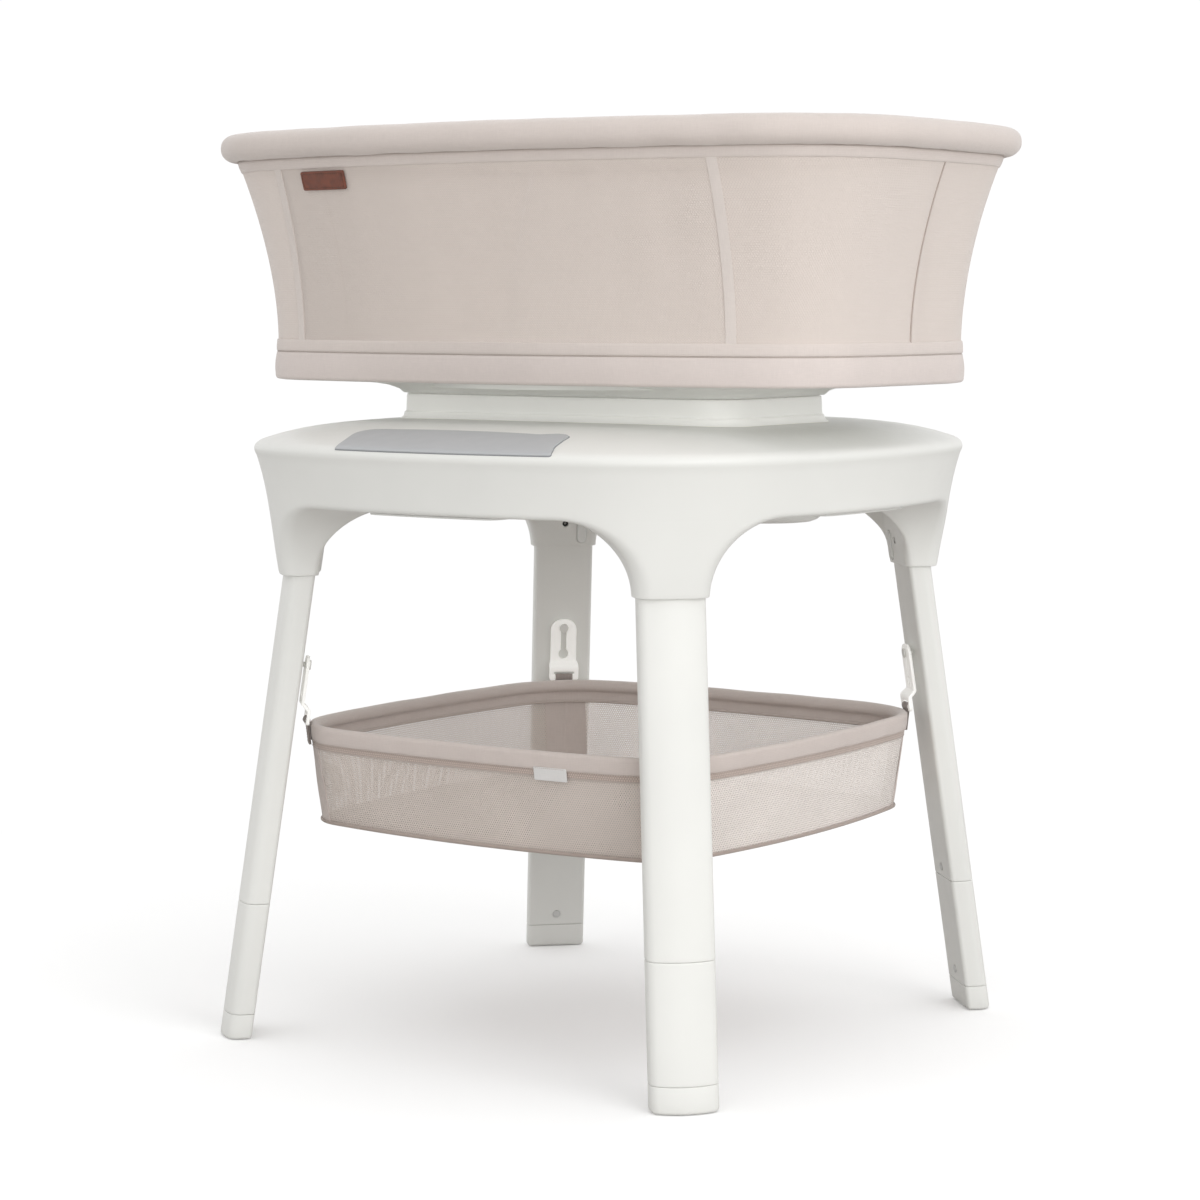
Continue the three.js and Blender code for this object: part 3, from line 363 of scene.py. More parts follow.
def metal_mat(name, rgb, rough=0.3, brushed=True):
    m, nt, b = new_mat(name, rough, metal=1.0)
    co = N(nt, "ShaderNodeTexCoord").outputs["Object"]
    mp = N(nt, "ShaderNodeMapping", {"Vector": co, "Scale": (60, 60, 1800) if brushed else (400, 400, 400)}).outputs[0]
    f = N(nt, "ShaderNodeTexNoise", {"Vector": mp, "Scale": 1.0, "Detail": 3.0}).outputs["Fac"]
    c = lin(rgb)
    nt.links.new(ramp(nt, f, tuple(x * 0.9 for x in c), tuple(min(1, x * 1.06) for x in c), 0.25, 0.75), b.inputs["Base Color"])
    nt.links.new(N(nt, "ShaderNodeMapRange", {0: f, 1: 0.2, 2: 0.8, 3: rough - 0.07, 4: rough + 0.1}).outputs[0], b.inputs["Roughness"])
    nt.links.new(N(nt, "ShaderNodeBump", {"Height": f, "Strength": 0.06, "Distance": 0.0004}).outputs[0], b.inputs["Normal"])
    return m

def uv_mm(nt):
    """u and v of the piece in millimetres."""
    uv = N(nt, "ShaderNodeTexCoord").outputs["UV"]
    s = N(nt, "ShaderNodeSeparateXYZ", {0: uv})
    return uv, math_(nt, "MULTIPLY", s.outputs[0], 1000.0), math_(nt, "MULTIPLY", s.outputs[1], 1000.0)

def wave1(nt, x, period, phase=0.0):
    """0..1 sine of x with that period in mm"""
    a = math_(nt, "MULTIPLY_ADD", x, 2 * math.pi / period, phase)
    return math_(nt, "MULTIPLY_ADD", math_(nt, "SINE", a), 0.5, 0.5)

def fabric(name, rgb, kind="plain", pitch=1.1, depth=0.35, sheen=0.35, rough=0.88, var=0.06, alpha=None, hole=0.92, hp=3.0, slub=1.0, fade=None, mean=0.86, floor=0.0, pore=0.55, pmix=0.35, lift=None):
    """Woven or knitted cloth on the piece's own UV in metres. kind: plain, knit, rib. alpha 'hex' opens holes on a hexagonal lattice."""
    m, nt, b = new_mat(name, rough, spec=0.25, sheen=sheen)
    uv, u, v = uv_mm(nt)
    c = lin(rgb)
    if kind == "rib":
        w = math_(nt, "MULTIPLY", wave1(nt, u, 1.75), 1.0)
        x = wave1(nt, math_(nt, "ADD", v, math_(nt, "MULTIPLY", math_(nt, "SINE", math_(nt, "MULTIPLY", u, 2 * math.pi / 3.5)), 0.4)), 1.3)
        h = math_(nt, "MULTIPLY_ADD", x, 0.35, w)
    elif kind == "knit":
        s = math_(nt, "ABSOLUTE", math_(nt, "SINE", math_(nt, "MULTIPLY", u, math.pi / pitch)))
        x = wave1(nt, math_(nt, "ADD", v, math_(nt, "MULTIPLY", s, 0.5 * pitch)), pitch * 0.8)
        h = math_(nt, "MULTIPLY_ADD", x, 0.6, s)
    else:
        a, d = wave1(nt, u, pitch), wave1(nt, v, pitch)
        a2, d2 = wave1(nt, u, pitch * 2), wave1(nt, v, pitch * 2)
        h = math_(nt, "ADD", math_(nt, "MULTIPLY", math_(nt, "MULTIPLY", a, d2), 1.0), math_(nt, "MULTIPLY", d, math_(nt, "SUBTRACT", 1.0, a2)))
    mp = N(nt, "ShaderNodeMapping", {"Vector": uv, "Scale": (90, 900, 1)}).outputs[0]
    mp2 = N(nt, "ShaderNodeMapping", {"Vector": uv, "Scale": (900, 90, 1)}).outputs[0]
    n1 = N(nt, "ShaderNodeTexNoise", {"Vector": mp, "Scale": 1.0, "Detail": 2.0}).outputs["Fac"]
    n2 = N(nt, "ShaderNodeTexNoise", {"Vector": mp2, "Scale": 1.0, "Detail": 2.0}).outputs["Fac"]
    big = N(nt, "ShaderNodeTexNoise", {"Vector": uv, "Scale": 14.0, "Detail": 3.0}).outputs["Fac"]
    slubs = math_(nt, "MULTIPLY", math_(nt, "ADD", n1, n2), 0.5)
    mixv = math_(nt, "ADD", math_(nt, "MULTIPLY", slubs, 0.8 * slub), math_(nt, "ADD", math_(nt, "MULTIPLY", big, 0.35), math_(nt, "MULTIPLY", h, 0.16)))
    col = ramp(nt, mixv, tuple(x * (1 - var * 1.3) for x in c), tuple(min(1, x * (1 + var)) for x in c), 0.35, 0.95)
    height = math_(nt, "MULTIPLY_ADD", slubs, 0.5, h)
    if alpha == "hex":
        q = hp * 0.8660254
        def cell(off):
            a = math_(nt, "MULTIPLY_ADD", u, 1 / hp, off); a = math_(nt, "SUBTRACT", math_(nt, "FRACT", a), 0.5)
            d = math_(nt, "MULTIPLY_ADD", v, 1 / (2 * q), off); d = math_(nt, "SUBTRACT", math_(nt, "FRACT", d), 0.5)
            a = math_(nt, "MULTIPLY", a, hp); d = math_(nt, "MULTIPLY", d, 2 * q * 0.86)
            return math_(nt, "SQRT", math_(nt, "ADD", math_(nt, "MULTIPLY", a, a), math_(nt, "MULTIPLY", d, d)))
        dist = math_(nt, "MINIMUM", cell(0.0), cell(0.5))
        al = N(nt, "ShaderNodeMapRange", {0: dist, 1: hole - 0.1, 2: hole + 0.1, 3: floor, 4: 1.0}, clamp=True).outputs[0]
        if fade:
            # the pores close up along the cloth: fade holds (u in mm, closed share) pairs
            k = None
            for (ua, fa), (ub, fb) in zip(fade[:-1], fade[1:]):
                part = N(nt, "ShaderNodeMapRange", {0: u, 1: ua, 2: ub, 3: 0.0, 4: fb - fa}, clamp=True).outputs[0]
                k = math_(nt, "ADD", part, fade[0][1] if k is None else k)
            al = math_(nt, "ADD", math_(nt, "MULTIPLY", al, math_(nt, "SUBTRACT", 1.0, k)), math_(nt, "MULTIPLY", k, mean))
        nt.links.new(al, b.inputs["Alpha"])
        rim = N(nt, "ShaderNodeMapRange", {0: dist, 1: hole, 2: hole + 0.55, 3: 0.0, 4: 2.2}, clamp=True).outputs[0]
        height = math_(nt, "MULTIPLY_ADD", height, 0.35, rim)
        # pore tint: near the hole centres the colour is mixed by pmix towards the cloth colour times pore; below 1 this
        # is painted shade in the holes, above 1 painted light seen through them
        dark = N(nt, "ShaderNodeMix", {"Factor": N(nt, "ShaderNodeMapRange", {0: dist, 1: hole, 2: hole + 0.45, 3: pmix, 4: 0.0}, clamp=True).outputs[0], 6: col}, data_type="RGBA")
        dark.inputs[7].default_value = (*[min(1, x * pore) for x in c], 1)
        col = dark.outputs[2]
        if fade and lift:
            up_ = N(nt, "ShaderNodeMix", {"Factor": k, 6: col}, data_type="RGBA")
            up_.inputs[7].default_value = (*[min(1, x * y) for x, y in zip(c, lift)], 1)
            col = up_.outputs[2]
    nt.links.new(col, b.inputs["Base Color"])
    nt.links.new(N(nt, "ShaderNodeBump", {"Height": height, "Strength": depth, "Distance": 0.0005}).outputs[0], b.inputs["Normal"])
    return m

def leather(name, rgb):
    m, nt, b = new_mat(name, 0.48, spec=0.45)
    co = N(nt, "ShaderNodeTexCoord").outputs["Object"]
    vo = N(nt, "ShaderNodeTexVoronoi", {"Vector": co, "Scale": 900.0}, feature="DISTANCE_TO_EDGE").outputs["Distance"]
    no = N(nt, "ShaderNodeTexNoise", {"Vector": co, "Scale": 120.0, "Detail": 4.0}).outputs["Fac"]
    c = lin(rgb)
    nt.links.new(ramp(nt, no, tuple(x * 0.72 for x in c), tuple(min(1, x * 1.25) for x in c), 0.3, 0.72), b.inputs["Base Color"])
    h = math_(nt, "MULTIPLY_ADD", no, 0.4, math_(nt, "MINIMUM", math_(nt, "MULTIPLY", vo, 6.0), 1.0))
    nt.links.new(N(nt, "ShaderNodeBump", {"Height": h, "Strength": 0.4, "Distance": 0.0003}).outputs[0], b.inputs["Normal"])
    nt.links.new(N(nt, "ShaderNodeMapRange", {0: no, 1: 0.3, 2: 0.7, 3: 0.4, 4: 0.58}).outputs[0], b.inputs["Roughness"])
    return m

SHELL = plastic("shell_white", (226, 226, 222), 0.36, 1100, 0.03)
SHELLB = SHELL
LEGM = plastic("leg_white", (227, 227, 223), 0.42, 1400, 0.05, spec=0.45)
LEGB = LEGM
# hook plates: lighter than the leg plastic and glowing, both painted light for the shade they sit in under the stand
HOOKM = plastic("hook_white", (250, 250, 247), 0.5, 900, 0.06, painted_glow=0.16)
# pedestal: near white (251 against the shell's 226) and glowing a little, painted light for its shaded slot under the
# bassinet tray
PEDM = plastic("pedestal_white", (251, 251, 247), 0.42, 1000, 0.03, painted_glow=0.1)
CAPM = plastic("cap_white", (227, 227, 223), 0.5, 900, 0.06)
CAPB = CAPM
TRAYM = plastic("tray_white", (240, 240, 236), 0.45, 900, 0.05)
BUTTON = plastic("button_grey", (205, 205, 203), 0.35, 1200, 0.03)
RELM = plastic("release_grey", (224, 225, 222), 0.45, 1000, 0.05)
# near black for the discs set inside the small round post holes: painted shade for the dark inside of the holes
HOLE_SHADE = plastic("hole_shade_dark", (18, 18, 19), 0.6, 1000, 0.03)
# darker grey for a thin ring round the touch panel: painted shade in the gap between panel and shell
PANEL_GAP_SHADE = plastic("panel_gap", (138, 140, 142), 0.6, 1000, 0.03)
PANEL = plastic("panel_grey", (177, 179, 181), 0.42, 1600, 0.01, coat=0.0, var=0.01)
DARKP = plastic("dark_plastic", (42, 42, 44), 0.5, 900, 0.06)
BOARDM = plastic("board_green", (48, 108, 70), 0.42, 500, 0.08, var=0.2)
STEEL = metal_mat("steel", (190, 192, 196), 0.28)
MOTOR = metal_mat("motor_metal", (120, 124, 130), 0.4)
PULLEY = metal_mat("pulley_metal", (165, 168, 172), 0.32, brushed=False)
RUBBER = plastic("belt_rubber", (32, 32, 33), 0.75, 700, 0.2)
TAUPE = (214, 204, 197)
# the back wall's pores are darkened (pore 0.55), painted shade in the holes; the front and end walls' pores are
# lightened (pore 1.5, mixed 0.9), painted light seen through them
MESHF = fabric("mesh_fabric", TAUPE, "knit", 1.2, alpha="hex", hole=0.5, hp=2.5, depth=0.5, fade=[(0, 0.45), (500, 0.45)], mean=0.9)
MESHFR = fabric("mesh_fabric_front", (197, 187, 180), "knit", 1.2, alpha="hex", hole=0.62, hp=2.7, depth=0.22, pore=1.5, pmix=0.9, floor=0.64, lift=(1.06, 1.06, 1.06), fade=[(0, 1.0), (90, 0.9), (230, 0.12), (500, 0.12)], mean=0.9)
MESHEN = fabric("mesh_fabric_end", (197, 187, 180), "knit", 1.2, alpha="hex", hole=0.62, hp=2.7, depth=0.22, pore=1.5, pmix=0.9, floor=0.72, lift=(1.24, 1.25, 1.26), fade=[(0, 0.12), (50, 0.2), (170, 1.0), (580, 1.0), (700, 0.2), (750, 0.12)], mean=0.9)
BANDF = fabric("band_fabric", (213, 203, 197), "plain", 0.9, depth=0.25)
COVERF = fabric("rim_fabric", (207, 197, 191), "knit", 0.9, depth=0.22, sheen=0.45)
SKIRTF = fabric("skirt_fabric", (211, 201, 196), "knit", 0.9, depth=0.22)
RIBF = fabric("rib_fabric", (214, 205, 199), "plain", 0.9, depth=0.25)
SEAMF = fabric("seam_thread", (186, 174, 167), "rib", 0.8, depth=0.5)
MATTF = fabric("mattress_fabric", (232, 228, 224), "plain", 1.3, depth=0.4, sheen=0.3)
PIPEF = fabric("piping_fabric", (196, 184, 177), "plain", 0.9, depth=0.3)
# both basket meshes darken their pores a little (pore 0.9), painted shade in the holes; the second is a lighter copy
# for the right and back walls, painted light
BKMESH = fabric("basket_mesh", (208, 197, 189), "knit", 1.2, alpha="hex", hole=0.6, hp=2.6, depth=0.4, fade=[(0, 0.2), (500, 0.2)], mean=0.88, pore=0.9)
BKMESH_PAINTED_LIGHT = fabric("basket_mesh_lit", (236, 228, 222), "knit", 1.2, alpha="hex", hole=0.55, hp=2.6, depth=0.4, fade=[(0, 0.2), (500, 0.2)], mean=0.9, pore=0.9)
BKPIPE = fabric("basket_piping", (168, 154, 146), "plain", 1.0, depth=0.3)
# the hem strip is opaque and its pores are painted lighter (pore 1.55): painted light standing in for see-through holes
HEMST = fabric("basket_hem_strip", (166, 152, 144), "knit", 1.2, alpha="hex", hole=0.6, hp=2.6, depth=0.3, pore=1.55, pmix=0.9, floor=1.0)
BKBAND = fabric("basket_band", (203, 192, 186), "plain", 0.9, depth=0.3)
BKFLOOR = fabric("basket_floor", (190, 178, 171), "plain", 1.2, depth=0.4)
WEB = fabric("webbing", (165, 155, 150), "rib", 1.2, depth=1.0, rough=0.8)
TAGF = fabric("woven_tag", (214, 212, 210), "plain", 0.6, depth=0.2)
LEATHER = leather("leather", (118, 68, 52))
THREAD = fabric("thread", (92, 60, 46), "rib", 0.6, depth=0.6)

# ------------------------------------------------------------------ legs
LEGS = [("front_right", 1, -1), ("front_left", -1, -1), ("back_right", 1, 1), ("back_left", -1, 1)]
def leg_a(z):
    return 287.9 - 0.104 * z

def dsec(grow=0.0, na=8, nc=16, ni=14):
    """D-shaped section [t, d], flat towards the centre."""
    w, h0, h1 = 33.75 + grow, -15.5 - grow, 15.5 + grow
    ro, ri, Rc = 12 + grow, 4.5 + grow, 67.5 + grow
    ri = max(ri, 0.6)
    X = w - ro; yb = h1 - Rc; yc = yb + math.sqrt((Rc - ro) ** 2 - X * X)
    ae = math.atan2(yc - yb, X)
    a = np.linspace(-math.pi / 2, 0, na + 1); p = [np.stack([w - ri + ri * np.cos(a), h0 + ri + ri * np.sin(a)], 1)]
    a = np.linspace(0, ae, na + 1); p.append(np.stack([X + ro * np.cos(a), yc + ro * np.sin(a)], 1))
    a = np.linspace(ae, math.pi - ae, nc + 1)[1:-1]; p.append(np.stack([Rc * np.cos(a), yb + Rc * np.sin(a)], 1))
    a = np.linspace(math.pi - ae, math.pi, na + 1); p.append(np.stack([-X + ro * np.cos(a), yc + ro * np.sin(a)], 1))
    a = np.linspace(math.pi, 1.5 * math.pi, na + 1); p.append(np.stack([-(w - ri) + ri * np.cos(a), h0 + ri + ri * np.sin(a)], 1))
    t = np.linspace(-(w - ri), w - ri, ni + 1)[1:-1]; p.append(np.stack([t, np.full(len(t), h0)], 1))
    return np.concatenate(p)

def leg_ring(sx, sy, p, z):
    er, a = np.array([sx * S2, sy * S2]), leg_a(z)
    et = np.array([-er[1], er[0]])
    q = np.array([sx * a, sy * a]) + p[:, :1] * et + p[:, 1:] * er
    return at(q, z)

def rel_x(sx, sy):
    return -19.5 if sx * sy > 0 else 19.5

def inner_face(sx, sy, z, off=0.0):
    er = np.array([sx * S2, sy * S2, 0.0]); et = np.array([-er[1], er[0], 0.0]); a = leg_a(z); lean = 0.104 * math.sqrt(2)
    u = np.array([-er[0] * lean, -er[1] * lean, 1.0]); u /= np.linalg.norm(u)
    n = np.cross(et, u); n /= np.linalg.norm(n)
    inward = n if n @ er < 0 else -n
    x = np.cross(u, inward); x /= np.linalg.norm(x)
    p = np.array([sx * a, sy * a, z]) + er * -15.5 + inward * off
    M = np.eye(4); M[:3, 0], M[:3, 1], M[:3, 2], M[:3, 3] = x, u, inward, p
    return M

def leg_tube(b, sx, sy, outer, inner, mat=0):
    """Closed wall from outer rings (bottom to top) back down the inner rings."""
    R = [leg_ring(sx, sy, dsec(g), z) for z, g in outer] + [leg_ring(sx, sy, dsec(g), z) for z, g in inner]
    b.grid(np.array(R).transpose(1, 0, 2), cu=True, cv=True, mat=mat)

def cyl_prof(r, h0, h1):
    return [(r, h0), (r, h1)]

for name, sx, sy in LEGS:
    # leg tube, open at both ends, with a small break on its lower edge and a hook peg
    b = Build()
    zs = np.linspace(147, 540, 12)
    outer = [(144.1, -0.7), (144.5, -0.15), (145.2, 0)] + [(z, 0) for z in zs] + [(546, 0)]
    inner = [(545.9, -2.4)] + [(z, -2.4) for z in zs[::-1]] + [(144.2, -2.4)]
    leg_tube(b, sx, sy, outer, inner)
    ob = obj(f"leg_tube_{name}", b, LEGB if sy > 0 > sx else LEGM, "stand", f"leg_{name}")
    cut = Build()
    lathe(cut, cyl_prof(4.65, -6, 4), inner_face(sx, sy, 155), 32)
    lathe(cut, cyl_prof(3.0, -6, 4), inner_face(sx, sy, 516.5), 28)
    boolean(ob, cut.mesh("c"))
    bm = bmesh.new(); bm.from_mesh(ob.data)
    b = Build()
    lathe(b, [(2.7, -1), (2.7, 9.0), (5.0, 9.1), (5.3, 9.4), (5.3, 10.6), (5.0, 11.0), (3.5, 11.1)], inner_face(sx, sy, 394), 28)
    bm.from_mesh(b.mesh("p")); bm.to_mesh(ob.data); bm.free(); shade(ob.data)
    # lower extension with its spigot
    b = Build()
    zs = np.linspace(30, 141, 5)
    outer = [(26.7, -0.7), (27.1, -0.15), (27.8, 0)] + [(z, 0) for z in zs] + [(142.7, 0), (143.4, -0.15), (143.8, -0.7), (143.8, -2.75), (188, -2.75), (189.8, -3.3)]
    inner = [(189.8, -5.0)] + [(z, -5.0) for z in (188, 143, 80, 30)] + [(26.7, -5.0)]
    leg_tube(b, sx, sy, outer, inner)
    ob = obj(f"extension_{name}", b, LEGB if sy > 0 > sx else LEGM, "stand", f"leg_extension_{name}")
    cut = Build()
    lathe(cut, cyl_prof(4.65, -9, 4), inner_face(sx, sy, 155), 32)
    lathe(cut, cyl_prof(4.65, -9, 4), inner_face(sx, sy, 40), 32)
    boolean(ob, cut.mesh("c")); shade(ob.data)
    # foot cap
    b = Build()
    R = [(0, -3.4), (0.25, -2.2), (0.9, -1.2), (2.0, -0.45), (3.5, 0), (12, 0), (25.2, 0), (26.0, -0.15), (26.4, -0.7), (26.4, -5.4), (33.0, -5.4), (33.4, -5.9)]
    P = np.array([leg_ring(sx, sy, dsec(g), z) for z, g in R]).transpose(1, 0, 2)
    idx = b.grid(P, cu=True); b.fan(idx[:, 0]); b.fan(idx[::-1, -1])
    obj(f"foot_cap_{name}", b, CAPB if sy > 0 > sx else CAPM, "stand", f"foot_{name}")
    # snap buttons with a shallow crown and a groove
    for n, z in ((f"extension_button_{name}", 155), (f"foot_button_{name}", 40)):
        b = Build()
        prof = [(4.3, -7.5), (4.3, 0.55), (4.22, 0.85), (4.0, 1.05), (3.3, 1.32), (3.1, 1.22), (2.95, 1.34), (2.2, 1.5), (1.1, 1.58), (0.3, 1.6)]
        lathe(b, prof, inner_face(sx, sy, z), 32)
        obj(f"snap_{n}", b, BUTTON, n, n)
    # oval release button: raised pad with a finger dish
    b = Build()
    M = inner_face(sx, sy, 513, 2.0) @ trans(rel_x(sx, sy), -3, 0)
    def pill(w, h, n=14):
        r, k = w / 2, h / 2 - w / 2
        a = np.linspace(0, math.pi, n + 1)
        return np.concatenate([np.stack([r * np.cos(a), k + r * np.sin(a)], 1), np.stack([-r * np.cos(a), -k - r * np.sin(a)], 1)])
    rows = [at(pill(11.2, 33.2), 0), at(pill(11.2, 33.2), 2.7), at(pill(10.8, 32.8), 3.15), at(pill(9.9, 31.9), 3.55), at(pill(8.6, 30.6), 3.85), at(pill(7.2, 29.2), 3.9), at(pill(5.2, 27.2), 3.62), at(pill(2.6, 24.6), 3.4)]
    P = np.array(rows).transpose(1, 0, 2)
    P = (P.reshape(-1, 3) @ M[:3, :3].T + M[:3, 3]).reshape(P.shape)
    idx = b.grid(P, cu=True); b.fan(idx[:, 0]); b.fan(idx[::-1, -1])
    obj(f"release_pad_{name}", b, RELM, f"leg_release_{name}", f"leg_release_{name}")

# ------------------------------------------------------------------ stand shell
CORNER = np.array([[484, 353.7], [490, 354.6], [520.3, 359.4], [547.9, 362.6], [570.7, 366.7], [598.4, 372.1], [621.1, 379.3], [627, 381.2]])
SIG = np.polyfit(CORNER[:, 0] - 560, CORNER[:, 1] / 381.2, 3)
SIG0 = np.polyval(SIG, 67.0)
def sig(z):
    return np.polyval(SIG, np.asarray(z, float) - 560) / SIG0

TOP = dict(A=344.5, B=344.5, kx=0.001427, ky=0.001427, R=196.0)
RS = 1 / 0.001427; CYS = -(RS - 344.5); RC = 196.0
x_ = 344.5 - RC
for _ in range(60):
    f = math.hypot(x_, x_ - CYS) - (RS - RC)
    x_ -= f / ((2 * x_ - CYS) / math.hypot(x_, x_ - CYS))
D0 = x_ * math.sqrt(2) + RC
ANG = math.atan2(x_ - CYS, x_) - math.pi / 4          # half angle of the corner arc
TC = RC * math.sin(ANG)
def d_of(t, s):
    t = np.abs(t); R, cy, RR, Dc = RC * s, CYS * s, RS * s, (D0 - RC) * s
    near = Dc + np.sqrt(np.maximum(R * R - t * t, 0))
    q = math.sqrt(2) * cy
    far = (q + np.sqrt(np.maximum(q * q - 4 * (t * t - q * t + cy * cy - RR * RR), 0))) / 2
    return np.where(t <= TC * s, near, far)
top_dense = bow_outline(TOP, 200, 200)
def fgauge(x, y):
    return np.hypot(x, y) / polar(top_dense, np.arctan2(y, x))
DOME_N = 6.5
def dome(f):
    return 627 + 24 * (1 - np.clip(f, 0, 1.2) ** DOME_N)
def dome_z(x, y):
    return dome(fgauge(x, y))

TB = 112.45
wv = np.array([0, .5, 1.4, 2.8, 4.6, 7, 10, 14, 19, 25, 32, 40, 49, 59, 70, 82, 97])
tau = np.concatenate([-(TB - wv), [0], (TB - wv)[::-1]]) / TB          # -1..1
NPC = len(tau)
s565 = float(sig(565))
# base points at z = 565, corner by corner, anticlockwise from the +x +y corner's +x side
cols, cdir, cw, kind = [], [], [], []
def corner_pts(q, t, d):
    er = np.array([math.cos(math.pi / 4 + q * math.pi / 2), math.sin(math.pi / 4 + q * math.pi / 2)]); et = np.array([-er[1], er[0]])
    return er, et, np.outer(d, er) + np.outer(t, et)
NSIDE = 34
def side_w(k):  # 0..1 places along a side, close together near the corners
    t = np.linspace(-1, 1, NSIDE + 2)[1:-1]
    return 0.5 + 0.5 * (t * (1.25 - 0.25 * t * t))
side_t = side_w(0)
d_in565 = leg_a(565) * math.sqrt(2) - 19.2
RI_TOP = 4.0
EDGE_R = 5.0
for q in range(4):
    t = tau * TB
    er, et, P = corner_pts(q, t, d_of(t, s565))
    for k in range(NPC):
        cols.append(P[k]); kind.append(("c", q, k))
    er2 = np.array([math.cos(3 * math.pi / 4 + q * math.pi / 2), math.sin(3 * math.pi / 4 + q * math.pi / 2)])
    # the side runs from this corner's +t end to the next corner's -t end, on the side arc about an axis normal m
    m = (er + er2) * S2; a0, a1 = P[-1], np.outer([d_of(-TB, s565)], er2)[0] - TB * np.array([-er2[1], er2[0]])
    along = np.array([-m[1], m[0]])
    u0, u1 = a0 @ along, a1 @ along
    for k, w in enumerate(side_t):
        u = lerp(u0, u1, w)
        h = CYS * s565 + math.sqrt((RS * s565) ** 2 - u * u)
        cols.append(m * h + along * u); kind.append(("s", q, k))
cols = np.array(cols); NCOL = len(cols)
nrm = np.roll(cols, -1, 0) - np.roll(cols, 1, 0); nrm = np.stack([nrm[:, 1], -nrm[:, 0]], 1); nrm /= np.linalg.norm(nrm, axis=1)[:, None]
tabs, dirs = np.zeros(NCOL), np.zeros((NCOL, 2))
for i in range(NCOL):
    k, q, j = kind[i]
    ers = [np.array([math.cos(math.pi / 4 + c * math.pi / 2), math.sin(math.pi / 4 + c * math.pi / 2)]) for c in range(4)]
    c = int(np.argmax([e @ cols[i] for e in ers])); er = ers[c]; et = np.array([-er[1], er[0]])
    tabs[i] = abs(et @ cols[i]); w = sstep(tabs[i], 82, 150)
    dd = er * (1 - w) + nrm[i] * w
    dirs[i] = dd / np.linalg.norm(dd)

def edge_e(delta, r):
    delta = np.minimum(delta, r)
    return r - np.sqrt(np.maximum(r * r - (r - delta) ** 2, 0))

zsk = 565 + np.array([0, .12, .5, 1.1, 2.0, 3.2, 5, 7.5, 11, 16, 22, 29, 37, 45, 50])
rows = []
for z in zsk:
    s = float(sig(z)) / s565
    delta = np.where(tabs < TB - 1e-6, np.hypot(TB - tabs, z - 490) - 75, z - 565)
    e = edge_e(np.maximum(delta, 0), EDGE_R)
    rows.append(at(cols * s - dirs * e[:, None], z))
# rolled top edge
s_top = 1 / s565
fA, zB = 0.966, 615.0
A_ = at(cols * s_top * fA, dome(fA)); B_ = at(cols * float(sig(zB)) / s565, zB); C_ = at(cols * s_top * 1.008, 626.6)
for t in np.linspace(0, 1, 11):
    rows.append(B_ * (1 - t) ** 2 * 1 + C_ * 2 * t * (1 - t) + A_ * t * t)
phi = np.arctan2(cols[:, 1], cols[:, 0])
hole = rrect(150, 196, 14, 10)
rho_h, rho_o = polar(hole, phi), np.hypot(cols[:, 0], cols[:, 1]) * s_top
for t in np.linspace(0, 1, 15)[1:]:
    f = lerp(fA, 0, t)
    r = np.maximum(lerp(rho_o * fA, rho_h, t), rho_h)
    x, y = r * np.cos(phi), r * np.sin(phi)
    rows.append(np.stack([x, y, dome(r / rho_o)], 1))
outer = np.array(rows).transpose(1, 0, 2)
sb = Build()
oi = sb.grid(outer, cu=True)
# lip on the sides and inner loop
inner_loop, seg_dir = [], None
lip_n = 5
def flare(t):
    """How far the inner side of a post turns in to run along the sides of the top."""
    k = abs(t) - 34.0
    return 0.0 if k < 0 else (k * k / 24 if k < 12 else k - 6.0)
loop_pts = []
for q in range(4):
    base = q * (NPC + NSIDE)
    er = np.array([math.cos(math.pi / 4 + q * math.pi / 2), math.sin(math.pi / 4 + q * math.pi / 2)]); et = np.array([-er[1], er[0]])
    er2 = np.array([math.cos(3 * math.pi / 4 + q * math.pi / 2), math.sin(3 * math.pi / 4 + q * math.pi / 2)]); et2 = np.array([-er2[1], er2[0]])
    # corner: rounding, plane, rounding (from -t to +t)
    tb, ri, di = TB, RI_TOP, d_in565
    a = np.linspace(0, math.pi / 2, 6)
    cr = [(-(tb - ri) - ri * math.cos(x), di + ri - ri * math.sin(x)) for x in a]
    pl = [(t, di) for t in np.linspace(-(tb - ri), tb - ri, 15)[1:-1]]
    cr2 = [(-t, d) for t, d in cr[::-1]]
    loop_pts.append(("corner", q, [er * (d - flare(t)) + et * t for t, d in cr + pl + cr2]))
    i0, i1 = base + NPC - 1, (base + NPC + NSIDE) % NCOL
    side_idx = list(range(base + NPC, base + NPC + NSIDE))
    p0, p1 = loop_pts[-1][2][-1], er2 * (di + ri - flare(tb)) - et2 * tb
    w0, w1 = p0 - cols[i0], p1 - cols[i1]
    pts = []
    for i in side_idx:
        dd0, dd1 = np.linalg.norm(cols[i] - cols[i0]), np.linalg.norm(cols[i] - cols[i1])
        wl = (w0, dd0) if dd0 < dd1 else (w1, dd1)
        g = float(sstep(wl[1], 0, 85))
        vec = wl[0] * (1 - g) + (-nrm[i] * 9.0) * g
        pts.append(cols[i] + vec)
    loop_pts.append(("side", q, pts, side_idx, i0, i1, p0, p1))
    full_idx = [i0] + side_idx + [i1]
    inn = np.array([p0] + pts + [p1])
    outp = np.array([rows[0][i][:2] for i in full_idx])
    G = np.array([at(outp + (inn - outp) * u, 565.0 - (0.35 * math.sin(math.pi * u) if 0 < u < 1 else 0) * 0) for u in np.linspace(0, 1, lip_n)]).transpose(1, 0, 2)
    sb.grid(G)
loop = np.concatenate([np.array(l[2]) for l in loop_pts])
lphi = np.arctan2(loop[:, 1], loop[:, 0])
